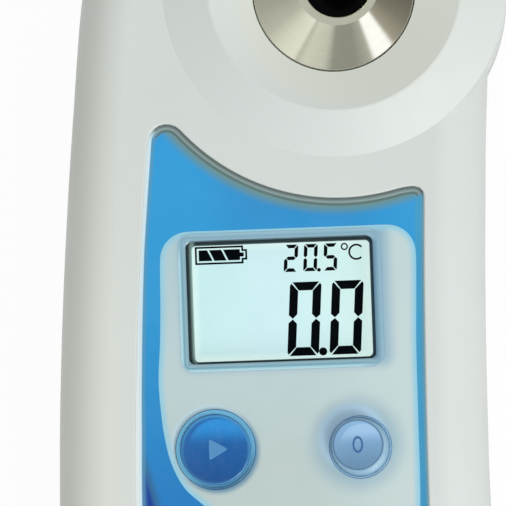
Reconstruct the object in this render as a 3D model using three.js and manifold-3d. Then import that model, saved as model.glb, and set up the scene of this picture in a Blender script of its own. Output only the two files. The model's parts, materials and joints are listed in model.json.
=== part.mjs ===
// A pocket digital refractometer lying on its back, in millimetres: +Z is up out of the front
// face, +Y runs from the grip to the head, and the origin is under the middle of the body.

import * as THREE from 'three';
import { mergeVertices } from 'three/addons/utils/BufferGeometryUtils.js';
import Module from 'manifold-3d';

const wasm = await Module();
wasm.setup();

// Counts
const OUTLINE_POINTS = 56;
const EDGE_STEPS = 4;
const INNER_EDGE_STEPS = 2;
const LARGE_SIDES = 40;
const BUTTON_SIDES = 24;
const CELL_SIDES = 16;
const SMALL_SIDES = 10;
const CORNER_STEPS = 3;
const ARC_STEPS = 12;
const SIDE_STEPS = 5;
const END_STEPS = 10;
const SHOULDER_STEPS = 4;
const SECTION_STEPS = 8;
const FACE_STEPS = 3;

// Clearances
const OVERRUN = 1;
const SEAT_GAP = 0.1;
const FIT_GAP = 0.3;

// Body
const WALL = 2.2;
const ROOF = 2.4;
const PARTING_Z = 14;
const FRONT_EDGE_RADIUS = 7.5;
const BACK_EDGE_RADIUS = 5;
const RIGHT_DRAW_IN = 4.2;
const HEAD_DRAW_IN = 4.7;
const NECK_FLARE = 2.2;
const GRIP_RISE = 26.5;
const END_DEPTH = 20.5;
const END_EXPONENT_SHARE = 2.6;
const LEFT_EXPONENT_SHARE = 1.6;
const RIGHT_EXPONENT_SHARE = 2.2;
const SHOULDER_OVERLAP = 4.2;
const SHOULDER_DROP = 1.3;
const NECK_INSET = 2.6;

// Head with the sample well, and the label's arc round it
const DRUM_RADIUS = 20.3;
const RIDGE_RADIUS = 14.9;
const RIDGE_RISE = 1.8;
const DISH_DROP = 1.5;
const PANEL_FROM_DRUM = 4.9;
const PANEL_LEFT_MARGIN = 9.5;
const PANEL_RIGHT_MARGIN = 7.5;
const PANEL_ARC_RADIUS = DRUM_RADIUS + PANEL_FROM_DRUM;

// Battery bay and cover along the body
const BATTERY_RADIUS = 5.25;
const BATTERY_LENGTH = 44.5;
const BATTERY_LIFT = 0.2;
const CONTACT_ROOM = 3.9;
const BAY_ROOF = 1.2;
const BAY_FROM_END = 7.9;
const COVER_THICKNESS = 1.3;
const COVER_LIFT = 0.3;
const COVER_PLUG = 0.9;
const COVER_SCREW_REACH = 5.2;
const COVER_TONGUE = 5;
const COVER_FROM_TROUGH = 3.2;
const TROUGH_TOWARD_GRIP = 19;
const BAY_LENGTH = BATTERY_LENGTH + CONTACT_ROOM;
const COVER_TOP_Z = COVER_LIFT + COVER_THICKNESS;
const BATTERY_Z = COVER_TOP_Z + COVER_PLUG + BATTERY_LIFT + BATTERY_RADIUS;
const BAY_ROOF_Z = BATTERY_Z + BATTERY_RADIUS + BATTERY_LIFT;

// Main board over the bay
const BOARD_OVER_BAY = 3;
const BOARD_THICKNESS = 1.6;
const BOARD_DEPTH = 7.6;
const BOARD_Z = BAY_ROOF_Z + BAY_ROOF + BOARD_OVER_BAY;
const BOARD_TOP_Z = BOARD_Z + BOARD_THICKNESS;

// The body's size and heights follow what it holds
const COVER_REACH = COVER_SCREW_REACH + COVER_TONGUE + COVER_FROM_TROUGH;
const END_TO_WELL = BAY_FROM_END + BAY_LENGTH + COVER_REACH + TROUGH_TOWARD_GRIP;
const BODY_LENGTH = END_TO_WELL + DRUM_RADIUS;
const BODY_WIDTH = DRUM_RADIUS + PANEL_ARC_RADIUS + PANEL_LEFT_MARGIN;
const HALF_WIDTH = BODY_WIDTH / 2;
const END_Y = -BODY_LENGTH / 2;
const GRIP_Y = END_Y + GRIP_RISE;
const END_TOP_Y = END_Y + END_DEPTH;
const GRIP_RIGHT = HALF_WIDTH - RIGHT_DRAW_IN;
const GRIP_MIDDLE_X = (GRIP_RIGHT - HALF_WIDTH) / 2;
const WELL_X = HALF_WIDTH - DRUM_RADIUS;
const WELL_Y = END_Y + END_TO_WELL;
const ROOF_Z = BOARD_TOP_Z + BOARD_DEPTH;
const FACE_Z = ROOF_Z + ROOF;
const BODY_DEPTH = FACE_Z + RIDGE_RISE;
const DISH_Z = BODY_DEPTH - DISH_DROP;

// Steel sample stage, its seal and nut
const STAGE_RADIUS = 9.9;
const STAGE_RIM = 0.35;
const STAGE_FLANGE = 1.2;
const STAGE_BARREL_RADIUS = 8.2;
const STAGE_BARREL_DEPTH = 5;
const CONE_DROP = 3;
const LIP_RADIUS = 3.85;
const LIP_OUTER_RADIUS = 4.85;
const LIP_DEPTH = 1.7;
const PRISM_SEAT_RADIUS = 5.75;
const STAGE_SEAL_SECTION = 0.3;
const STAGE_SEAL_RADIUS = 9.3;
const STAGE_SEAL_GROOVE = 0.4;
const NUT_RADIUS = 10.6;
const NUT_HEIGHT = 2;
const STAGE_TOP_Z = DISH_Z + SEAT_GAP;
const FLANGE_Z = STAGE_TOP_Z - STAGE_FLANGE;
const COUNTERBORE_Z = FLANGE_Z - SEAT_GAP;
const LIP_Z = STAGE_TOP_Z - CONE_DROP;
const BARREL_Z = FLANGE_Z - STAGE_BARREL_DEPTH;
const PRISM_SEAT_Z = LIP_Z - LIP_DEPTH;

// Prism
const PRISM_RADIUS = 4.5;
const PRISM_SINK = 0.5;
const PRISM_BARREL = 3.4;
const PRISM_WEDGE_DEPTH = 8.6;
const PRISM_WEDGE_WIDTH = 6;
const PRISM_WEDGE_TOP = 6.4;
const PRISM_WEDGE_TIP = 3.2;
const PRISM_GAP = 0.25;
const PRISM_SEAL_HEIGHT = 1.2;
const PRISM_SEAL_GAP = 0.15;
const PRISM_Z = LIP_Z - PRISM_SINK;
const PRISM_BARREL_Z = PRISM_Z - PRISM_BARREL;
const PRISM_SEAL_Z = PRISM_SEAT_Z - SEAT_GAP - PRISM_SEAL_HEIGHT;

// Label panel in its recess on the front
const PANEL_THICKNESS = 0.8;
const PANEL_RECESS = 1.4;
const PANEL_LEFT_CORNER = 1.9;
const PANEL_RIGHT_CORNER = 1.2;
const PANEL_END_DEPTH = 10;
const PANEL_END_RISE = 12.5;
const RECESS_Z = FACE_Z - PANEL_RECESS;
const PANEL_Z = RECESS_Z + SEAT_GAP;
const PANEL_TOP_Z = PANEL_Z + PANEL_THICKNESS;
const PANEL_END_Y = END_Y + PANEL_END_RISE;

// Display
const WINDOW_WIDTH = 21.9;
const WINDOW_HEIGHT = 14.3;
const WINDOW_CORNER = 0.7;
const WINDOW_FROM_ARC = 4.4;
const WINDOW_SHIFT = 0.67;
const WINDOW_LENS_THICKNESS = 0.6;
const WINDOW_LENS_LIFT = 0.15;
const FRAME_MARGIN = 1.5;
const FRAME_SIGHT = 0.35;
const GLASS_THICKNESS = 1.6;
const GLASS_MARGIN = 1.2;
const REFLECTOR_THICKNESS = 0.4;
const HOLDER_WALL = 1.2;
const HOLDER_LEDGE = 1.6;
const HOLDER_FLOOR = 1.4;
const CONNECTOR_WIDTH = 1.4;
const CONNECTOR_SIDE = 3;
const FRAME_DEPTH = 2.2;
const PANEL_MIDDLE_X = GRIP_MIDDLE_X + (PANEL_LEFT_MARGIN - PANEL_RIGHT_MARGIN) / 2;
const WINDOW_X = PANEL_MIDDLE_X + WINDOW_SHIFT;
const WINDOW_Y = WELL_Y - PANEL_ARC_RADIUS - WINDOW_FROM_ARC - WINDOW_HEIGHT / 2;
const FRAME_Z = RECESS_Z - FRAME_DEPTH;
const GLASS_Z = FRAME_Z - SEAT_GAP - GLASS_THICKNESS;
const REFLECTOR_Z = GLASS_Z - SEAT_GAP - REFLECTOR_THICKNESS;

// Buttons
const BUTTON_FROM_WINDOW = 10.25;
const BUTTON_INSET = 2.47;
const BUTTON_SHIFT = 0.28;
const BUTTON_TRAVEL = 0.7;
const BUTTON_GAP = 0.12;
const BUTTON_EDGE = 0.45;
const BUTTON_FLANGE = 1;
const BUTTON_FLANGE_REACH = 0.8;
const STEM_RADIUS = 1.6;
const STEM_LENGTH = 1.3;
const START_RADIUS = 4;
const START_TOP_RADIUS = 3.8;
const START_RISE = 1.1;
const START_RING_RADIUS = 4.65;
const START_RING_RISE = 0.5;
const ZERO_RADIUS = 3.45;
const ZERO_TOP_RADIUS = 3;
const ZERO_RISE = 2.2;
const ZERO_RING_RADIUS = 3.75;
const ZERO_RING_RISE = 0.25;
const MAT_SIDE = 1;
const MAT_END = 2.45;
const MAT_CORNER = 2;
const MAT_FLOOR = 0.6;
const MAT_POCKET_GAP = 0.4;
const TRAVEL_GAP = 0.2;
const BUTTON_SPREAD = WINDOW_WIDTH / 2 - BUTTON_INSET;
const BUTTON_MIDDLE_X = WINDOW_X + BUTTON_SHIFT;
const BUTTON_Y = WINDOW_Y - WINDOW_HEIGHT / 2 - BUTTON_FROM_WINDOW;
const MAT_WIDTH = 2 * (BUTTON_SPREAD + START_RADIUS + MAT_SIDE);
const MAT_LENGTH = 2 * (START_RADIUS + MAT_END);
const FLANGE_TOP_Z = ROOF_Z - SEAT_GAP;
const FLANGE_BOTTOM_Z = FLANGE_TOP_Z - BUTTON_FLANGE;
const MAT_FLOOR_Z = FLANGE_BOTTOM_Z - BUTTON_TRAVEL - TRAVEL_GAP;
const MAT_Z = MAT_FLOOR_Z - MAT_FLOOR;
const STEM_Z = FLANGE_BOTTOM_Z - STEM_LENGTH;

// Main board with its switches
const BOARD_FROM_LEFT = 11.6;
const BOARD_FROM_RIGHT = 10.3;
const BOARD_FROM_TROUGH = 3.2;
const BOARD_END_RISE = 10.5;
const BOARD_CORNER = 1.5;
const BOARD_SCREW_INSET = 2;
const BOARD_POST_RADIUS = 1.9;
const BOARD_SCREW_RADIUS = 0.8;
const BOARD_SCREW_HEAD_RADIUS = 1.5;
const BOARD_SCREW_HEAD = 1;
const BOARD_SCREW_LENGTH = 5;
const SWITCH_SIZE = 6;
const SWITCH_HEIGHT = 3;
const SWITCH_PLUNGER_RADIUS = 1.4;
const SWITCH_CORNER = 0.4;
const CHIP_SIZE = 9;
const CHIP_HEIGHT = 1.1;
const CHIP_CORNER = 0.4;
const CHIP_FROM_BUTTONS = 8;
const BOARD_LEFT_X = -HALF_WIDTH + BOARD_FROM_LEFT;
const BOARD_RIGHT_X = GRIP_RIGHT - BOARD_FROM_RIGHT;
const BOARD_TOP_Y = WELL_Y - TROUGH_TOWARD_GRIP - BOARD_FROM_TROUGH;
const BOARD_END_Y = END_Y + BOARD_END_RISE;
const CHIP_Y = BUTTON_Y - CHIP_FROM_BUTTONS;
const SWITCH_Z = BOARD_TOP_Z + SEAT_GAP;
const PLUNGER_Z = STEM_Z - BUTTON_TRAVEL - TRAVEL_GAP;

// Optical chassis and what it carries
const CHASSIS_DROP = 1.2;
const CHASSIS_PLATE = 2;
const CHASSIS_PLATE_RADIUS = 10.4;
const CHASSIS_EAR_RADIUS = 3;
const CHASSIS_SCREW_CIRCLE = 14;
const CHASSIS_ANGLES_DEG = [-35, 145, 215];
const TROUGH_WIDTH = 15;
const TROUGH_DEPTH = 10;
const TROUGH_TOWARD_TOP = 15.5;
const TROUGH_CORNER = 1;
const CHANNEL_WIDTH = 10;
const CHANNEL_HEIGHT = 8;
const CHANNEL_TOWARD_TOP = 9;
const COLLAR_GAP = 0.3;
const COLLAR_WALL = 0.7;
const LIGHT_RADIUS = 2.5;
const LIGHT_LENGTH = 5.4;
const LIGHT_DOME = 1.8;
const LENS_RIM_GAP = 0.2;
const LENS_RIM_THICKNESS = 1.2;
const LENS_CROWN_HEIGHT = 0.7;
const CONDENSER_FROM_WELL = 7;
const COLLECTOR_FROM_WELL = 9;
const SLIT_FROM_WELL = 4.8;
const SLIT_THICKNESS = 0.5;
const SLIT_WIDTH = 1;
const SLIT_HEIGHT = 4;
const SENSOR_WIDTH = 7;
const SENSOR_HEIGHT = 5;
const SENSOR_THICKNESS = 1.2;
const SENSOR_BOARD_THICKNESS = 1.2;
const CABLE_WIDTH = 6;
const CABLE_SHIFT = 2.5;
const CABLE_THICKNESS = 0.25;
const CABLE_STEPS = 14;
const CABLE_LAP = 3;
const THERMISTOR_RADIUS = 0.6;
const THERMISTOR_BORE_GAP = 0.2;
const THERMISTOR_CIRCLE = 7;
const THERMISTOR_SINK = 1.8;
const CHASSIS_SCREW_RADIUS = 1;
const CHASSIS_SCREW_HEAD_RADIUS = 1.9;
const CHASSIS_SCREW_HEAD = 1.3;
const CHASSIS_SCREW_LENGTH = 6;
const CHASSIS_POST_RADIUS = 2.4;
const CHASSIS_TOP_Z = BARREL_Z - CHASSIS_DROP;
const CHASSIS_PLATE_Z = CHASSIS_TOP_Z - CHASSIS_PLATE;
const CHANNEL_Z = CHASSIS_PLATE_Z - CHANNEL_HEIGHT;
const TROUGH_Z = CHASSIS_PLATE_Z - TROUGH_DEPTH;
const OPTICAL_Z = CHASSIS_PLATE_Z - CHANNEL_HEIGHT / 2;
const TROUGH_GRIP_Y = WELL_Y - TROUGH_TOWARD_GRIP;
const TROUGH_TOP_Y = WELL_Y + TROUGH_TOWARD_TOP;

// Housing screws and the seal of the parting line
const HOUSING_SCREW_RADIUS = 1.2;
const HOUSING_SCREW_HEAD_RADIUS = 2.6;
const HOUSING_SCREW_HEAD = 2;
const HOUSING_SCREW_SEAT_Z = 5;
const HOUSING_SCREW_LENGTH = 16;
const FRONT_POST_RADIUS = 3.2;
const REAR_POST_RADIUS = 4;
const POST_FROM_LEFT = 7.9;
const POST_FROM_RIGHT = 6.8;
const END_POST_RISE = 16.5;
const SHOULDER_POST_FROM_LEFT = 7.6;
const SHOULDER_POST_FROM_WELL = 8.2;
const HEAD_POST_CIRCLE = 14.3;
const HEAD_POST_ANGLE_DEG = 25;
const SEAL_INSET = 0.8;
const SEAL_WIDTH = 0.6;
const SEAL_HEIGHT = 0.9;
const SEAL_GAP = 0.1;

// Battery bay, batteries and contacts
const BATTERY_NUB = 1.2;
const BATTERY_NUB_RADIUS = 1.9;
const BATTERY_EDGE = 0.5;
const BATTERY_SPACING = 11.1;
const BAY_SIDE_GAP = 0.4;
const BAY_WALL = 1.3;
const BAY_CORNER = 1;
const PLATE_WIDTH = 8;
const PLATE_THICKNESS = 0.4;
const PLATE_CORNER = 0.8;
const SPRING_BASE_RADIUS = 3.6;
const SPRING_TIP_RADIUS = 2.4;
const BAY_Y = END_Y + BAY_FROM_END;
const BAY_HALF_WIDTH = BATTERY_SPACING / 2 + BATTERY_RADIUS + BAY_SIDE_GAP;
const BATTERY_OFFSETS = [-BATTERY_SPACING / 2, BATTERY_SPACING / 2];

// Battery cover with its seal and coin screw
const COVER_MARGIN = 2;
const COVER_CORNER = 2.5;
const COVER_PLUG_INSET = 0.6;
const COVER_SEAL_DEPTH = 0.7;
const COVER_SEAL_INSET = 0.8;
const COVER_SEAL_WIDTH = 0.9;
const COVER_BOSS_RADIUS = 5.2;
const COVER_BOSS_HEIGHT = 1.6;
const BAY_PAD = 3.4;
const COIN_HEAD_RADIUS = 4;
const COIN_HEAD = 1.2;
const COIN_SLOT = 1.4;
const COIN_SLOT_DEPTH = 0.7;
const COIN_SHAFT_RADIUS = 1.5;
const COIN_SHAFT_LENGTH = 7.4;
const COIN_NECK_RADIUS = 1.1;
const COIN_NECK_HEIGHT = 0.8;
const CLIP_RADIUS = 3;
const CLIP_THICKNESS = 0.5;
const CLIP_GAP = 0.15;
const INSERT_WALL = 1.1;
const INSERT_HEIGHT = 4.4;
const INSERT_RISE = 1.3;
const COIN_BOSS_WALL = 1.8;
const COVER_RECESS_Z = COVER_TOP_Z + SEAT_GAP;
const COVER_BOSS_Z = COVER_TOP_Z + COVER_BOSS_HEIGHT;
const COIN_Y = BAY_Y + BAY_LENGTH + COVER_SCREW_REACH;

// Where the screws stand
const HOUSING_SCREWS = [
  [-HALF_WIDTH + POST_FROM_LEFT, END_Y + END_POST_RISE],
  [GRIP_RIGHT - POST_FROM_RIGHT, END_Y + END_POST_RISE],
  [-HALF_WIDTH + HEAD_DRAW_IN + SHOULDER_POST_FROM_LEFT, WELL_Y - SHOULDER_POST_FROM_WELL],
  aroundWell(HEAD_POST_CIRCLE, HEAD_POST_ANGLE_DEG),
];
const CHASSIS_SCREWS = CHASSIS_ANGLES_DEG.map((angle) => aroundWell(CHASSIS_SCREW_CIRCLE, angle));
const BOARD_SCREWS = [
  [BOARD_LEFT_X + BOARD_SCREW_INSET, BOARD_END_Y + BOARD_SCREW_INSET],
  [BOARD_RIGHT_X - BOARD_SCREW_INSET, BOARD_END_Y + BOARD_SCREW_INSET],
  [BOARD_LEFT_X + BOARD_SCREW_INSET, BOARD_TOP_Y - BOARD_SCREW_INSET],
  [BOARD_RIGHT_X - BOARD_SCREW_INSET, BOARD_TOP_Y - BOARD_SCREW_INSET],
];
const BUTTONS = {
  start: {
    x: BUTTON_MIDDLE_X - BUTTON_SPREAD,
    radius: START_RADIUS,
    topRadius: START_TOP_RADIUS,
    rise: START_RISE,
    ringRadius: START_RING_RADIUS,
    ringRise: START_RING_RISE,
  },
  zero: {
    x: BUTTON_MIDDLE_X + BUTTON_SPREAD,
    radius: ZERO_RADIUS,
    topRadius: ZERO_TOP_RADIUS,
    rise: ZERO_RISE,
    ringRadius: ZERO_RING_RADIUS,
    ringRise: ZERO_RING_RISE,
  },
};

const finish = (color, roughness, metalness = 0) =>
  new THREE.MeshStandardMaterial({ color, roughness, metalness });
const shellPlastic = finish(0xd8dbd8, 0.45);
const backPlastic = finish(0xd0d4d1, 0.5);
const labelPlastic = finish(0x3b96d4, 0.25);
const startPlastic = finish(0x2f72b4, 0.2);
const zeroPlastic = finish(0x86b0d8, 0.2);
const ringPlastic = finish(0x78b4d7, 0.25);
const blackPlastic = finish(0x1c1f22, 0.6);
const clearPlastic = finish(0xdfeff2, 0.08);
const displayGlass = finish(0xcef0f3, 0.1);
const opticalGlass = finish(0x0c0d10, 0.05);
const steel = finish(0xb8b9a8, 0.25, 1);
const screwSteel = finish(0x9a9c9e, 0.35, 1);
const brass = finish(0xb99a54, 0.35, 1);
const springMetal = finish(0xc8c9c6, 0.3, 1);
const rubber = finish(0x2a2c2e, 0.85);
const boardGreen = finish(0x2c6a45, 0.55);
const batteryWrap = finish(0x4a5560, 0.35);

// A point on a circle about the middle of the sample well.
function aroundWell(radius, degrees) {
  const angle = THREE.MathUtils.degToRad(degrees);
  return [WELL_X + radius * Math.cos(angle), WELL_Y + radius * Math.sin(angle)];
}

// A closed solid from a geometry, with its faces turned outward.
function solid(geometry) {
  const bare = new THREE.BufferGeometry();
  bare.setAttribute('position', geometry.getAttribute('position'));
  bare.setIndex(geometry.index);
  const merged = mergeVertices(bare);
  const points = merged.getAttribute('position').array;
  const corner = [new THREE.Vector3(), new THREE.Vector3(), new THREE.Vector3()];
  const faces = [];
  let volume = 0;
  for (let start = 0; start < merged.index.count; start += 3) {
    const face = [0, 1, 2].map((step) => merged.index.getX(start + step));
    if (new Set(face).size < 3) continue;
    face.forEach((vertex, step) => corner[step].fromArray(points, 3 * vertex));
    volume += corner[0].dot(corner[1].clone().cross(corner[2]));
    faces.push(face);
  }
  const triVerts = new Uint32Array(faces.flatMap(([a, b, c]) => (volume < 0 ? [a, c, b] : [a, b, c])));
  return new wasm.Manifold(new wasm.Mesh({ numProp: 3, vertProperties: points, triVerts }));
}

// A prism of a flat outline between two heights.
function plate(points, lowZ, highZ) {
  const shape = new THREE.Shape(points.map(([x, y]) => new THREE.Vector2(x, y)));
  const geometry = new THREE.ExtrudeGeometry(shape, { depth: highZ - lowZ, bevelEnabled: false });
  return solid(geometry.translate(0, 0, lowZ));
}

// The corners of a rectangle, rounded, about its middle.
function roundedRectangle(x, y, width, height, radius) {
  const centres = [
    [x + width / 2 - radius, y + height / 2 - radius],
    [x - width / 2 + radius, y + height / 2 - radius],
    [x - width / 2 + radius, y - height / 2 + radius],
    [x + width / 2 - radius, y - height / 2 + radius],
  ];
  return centres.flatMap((centre, corner) =>
    arcPoints(centre, radius, (corner * Math.PI) / 2, ((corner + 1) * Math.PI) / 2, CORNER_STEPS),
  );
}

function arcPoints([x, y], radius, from, to, steps) {
  return Array.from({ length: steps + 1 }, (_, step) => {
    const angle = from + ((to - from) * step) / steps;
    return [x + radius * Math.cos(angle), y + radius * Math.sin(angle)];
  });
}

// A solid of revolution about an upright axis, from [radius, height] points.
function turned(x, y, profile, sides = SMALL_SIDES) {
  const points = profile.map(([radius, z]) => new THREE.Vector2(radius, z));
  return solid(new THREE.LatheGeometry(points, sides).rotateX(Math.PI / 2).translate(x, y, 0));
}

// A solid of revolution about an axis along the body, from [radius, place along Y] points.
function turnedAlong(x, z, profile, sides = SMALL_SIDES) {
  const points = profile.map(([radius, y]) => new THREE.Vector2(radius, y));
  return solid(new THREE.LatheGeometry(points, sides).translate(x, 0, z));
}

function rod(x, y, lowZ, highZ, radius, sides = SMALL_SIDES) {
  return turned(x, y, [[0, lowZ], [radius, lowZ], [radius, highZ], [0, highZ]], sides);
}

function tube(x, y, lowZ, highZ, inner, outer, sides = SMALL_SIDES) {
  return turned(x, y, [[inner, lowZ], [outer, lowZ], [outer, highZ], [inner, highZ], [inner, lowZ]], sides);
}

function block([lowX, highX], [lowY, highY], [lowZ, highZ]) {
  const geometry = new THREE.BoxGeometry(highX - lowX, highY - lowY, highZ - lowZ);
  return solid(geometry.translate((lowX + highX) / 2, (lowY + highY) / 2, (lowZ + highZ) / 2));
}

const join = (parts) => parts.reduce((whole, part) => whole.add(part));
const cut = (whole, parts) => parts.reduce((rest, part) => rest.subtract(part), whole);

// How far the body's sides reach left and right of the middle at a place along it.
function alongShare(y, top) {
  return Math.max(0, (y - GRIP_Y) / (top - GRIP_Y));
}

function leftReach(y) {
  return HALF_WIDTH - HEAD_DRAW_IN * alongShare(y, WELL_Y) ** LEFT_EXPONENT_SHARE;
}

function rightReach(y) {
  return GRIP_RIGHT + NECK_FLARE * alongShare(y, WELL_Y) ** RIGHT_EXPONENT_SHARE;
}

// The lower end of an outline, from its left side round to its right side.
function endPoints(leftX, rightX, topY, depth, steps) {
  const middle = (leftX + rightX) / 2;
  const half = (rightX - leftX) / 2;
  return Array.from({ length: steps + 1 }, (_, step) => {
    const angle = Math.PI * (1 + step / steps);
    const across = Math.cos(angle);
    const down = Math.max(0, -Math.sin(angle));
    return [
      middle + half * Math.sign(across) * Math.abs(across) ** (2 / END_EXPONENT_SHARE),
      topY - depth * down ** (2 / END_EXPONENT_SHARE),
    ];
  });
}

function sidePoints(fromY, toY, sideX) {
  return Array.from({ length: SIDE_STEPS }, (_, step) => {
    const y = fromY + ((toY - fromY) * step) / SIDE_STEPS;
    return [sideX(y), y];
  });
}

// The body's plan outline as points with outward normals. Its upper right runs inside the drum.
function bodyOutline() {
  const neckRadius = DRUM_RADIUS - NECK_INSET;
  const shoulderX = WELL_X - SHOULDER_OVERLAP;
  const shoulderReach = shoulderX + leftReach(WELL_Y);
  const shoulderHeight = DRUM_RADIUS - SHOULDER_DROP;
  const shoulder = Array.from({ length: SHOULDER_STEPS }, (_, step) => {
    const angle = (Math.PI / 2) * (1 + (step + 1) / (SHOULDER_STEPS + 1));
    return [shoulderX + shoulderReach * Math.cos(angle), WELL_Y + shoulderHeight * Math.sin(angle)];
  });
  const points = [
    ...sidePoints(WELL_Y, END_TOP_Y, (y) => -leftReach(y)),
    ...endPoints(-HALF_WIDTH, GRIP_RIGHT, END_TOP_Y, END_DEPTH, END_STEPS),
    ...sidePoints(END_TOP_Y, WELL_Y - neckRadius / 2, rightReach).slice(1),
    ...arcPoints([WELL_X, WELL_Y], neckRadius, 0, (4 * Math.PI) / 9, CORNER_STEPS),
    ...shoulder,
  ];
  const curve = new THREE.CatmullRomCurve3(
    points.map(([x, y]) => new THREE.Vector3(x, y, 0)),
    true,
    'centripetal',
  );
  return Array.from({ length: OUTLINE_POINTS }, (_, index) => {
    const along = index / OUTLINE_POINTS;
    const place = curve.getPointAt(along);
    const heading = curve.getTangentAt(along);
    return { x: place.x, y: place.y, outX: heading.y, outY: -heading.x };
  });
}

const OUTLINE = bodyOutline();

// A stack of the body's outline, each level [inset, height].
function loft(levels) {
  const count = OUTLINE.length;
  const positions = levels.flatMap(([inset, z]) =>
    OUTLINE.flatMap(({ x, y, outX, outY }) => [x - outX * inset, y - outY * inset, z]),
  );
  const faces = [];
  for (let level = 0; level + 1 < levels.length; level++)
    for (let index = 0; index < count; index++) {
      const a = level * count + index;
      const b = level * count + ((index + 1) % count);
      faces.push(a, b, b + count, a, b + count, a + count);
    }
  const cap = (level) => {
    const base = level * count;
    const ring = OUTLINE.map((_, index) => new THREE.Vector2().fromArray(positions, 3 * (base + index)));
    return THREE.ShapeUtils.triangulateShape(ring, []).map((face) => face.map((index) => base + index));
  };
  cap(0).forEach(([a, b, c]) => faces.push(a, c, b));
  cap(levels.length - 1).forEach((face) => faces.push(...face));
  const geometry = new THREE.BufferGeometry();
  geometry.setAttribute('position', new THREE.Float32BufferAttribute(positions, 3));
  geometry.setIndex(faces);
  return solid(geometry);
}

// Levels from a square edge at startZ to a face whose edge is rounded.
function roundedLevels(inset, startZ, faceZ, radius, steps = EDGE_STEPS) {
  const up = Math.sign(faceZ - startZ);
  const levels = [[inset, startZ]];
  for (let step = 0; step <= steps; step++) {
    const angle = (step * Math.PI) / (2 * steps);
    levels.push([inset + radius * (1 - Math.cos(angle)), faceZ - up * radius * (1 - Math.sin(angle))]);
  }
  return levels;
}

// The drum of the head over the same levels.
function drum(levels) {
  const wall = levels.map(([inset, z]) => [DRUM_RADIUS - inset, z]);
  const profile = [[0, wall[0][1]], ...wall, [0, wall.at(-1)[1]]];
  return turned(WELL_X, WELL_Y, profile, LARGE_SIDES);
}

// An upright slice of the whole plan, body and drum together.
function footprint(inset, lowZ, highZ) {
  const levels = [[inset, lowZ], [inset, highZ]];
  return loft(levels).add(drum(levels));
}

// The label panel's outline, or its recess when it grows.
function panelOutline(grow) {
  const leftX = (y) => -(leftReach(y) - PANEL_LEFT_MARGIN) - grow;
  const rightX = (y) => rightReach(y) - PANEL_RIGHT_MARGIN + grow;
  const arcRadius = PANEL_ARC_RADIUS - grow;
  const corner = (sideX, radius, towardMiddle) => {
    const x = sideX + towardMiddle * radius;
    const y = WELL_Y - Math.sqrt((arcRadius + radius) ** 2 - (WELL_X - x) ** 2);
    return { centre: [x, y], radius, angle: Math.atan2(WELL_Y - y, WELL_X - x) };
  };
  const shoulderY = WELL_Y - PANEL_ARC_RADIUS / Math.SQRT2;
  const left = corner(leftX(shoulderY), PANEL_LEFT_CORNER + grow, 1);
  const right = corner(rightX(WELL_Y - PANEL_ARC_RADIUS), PANEL_RIGHT_CORNER + grow, -1);
  const endTopY = PANEL_END_Y + PANEL_END_DEPTH;
  const lowerEnd = endPoints(leftX(endTopY), rightX(endTopY), endTopY, PANEL_END_DEPTH + grow, END_STEPS);
  return [
    ...arcPoints(left.centre, left.radius, Math.PI, left.angle, CORNER_STEPS),
    ...arcPoints(
      [WELL_X, WELL_Y],
      arcRadius,
      left.angle + Math.PI,
      right.angle + Math.PI,
      ARC_STEPS,
    ).slice(1, -1),
    ...arcPoints(right.centre, right.radius, right.angle, 0, CORNER_STEPS),
    ...sidePoints(right.centre[1], endTopY, rightX).slice(1),
    ...lowerEnd.reverse(),
    ...sidePoints(endTopY, left.centre[1], leftX).slice(1),
  ];
}

const windowOutline = (grow) =>
  roundedRectangle(
    WINDOW_X,
    WINDOW_Y,
    WINDOW_WIDTH + 2 * grow,
    WINDOW_HEIGHT + 2 * grow,
    Math.max(WINDOW_CORNER + grow, WINDOW_CORNER / 2),
  );

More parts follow.
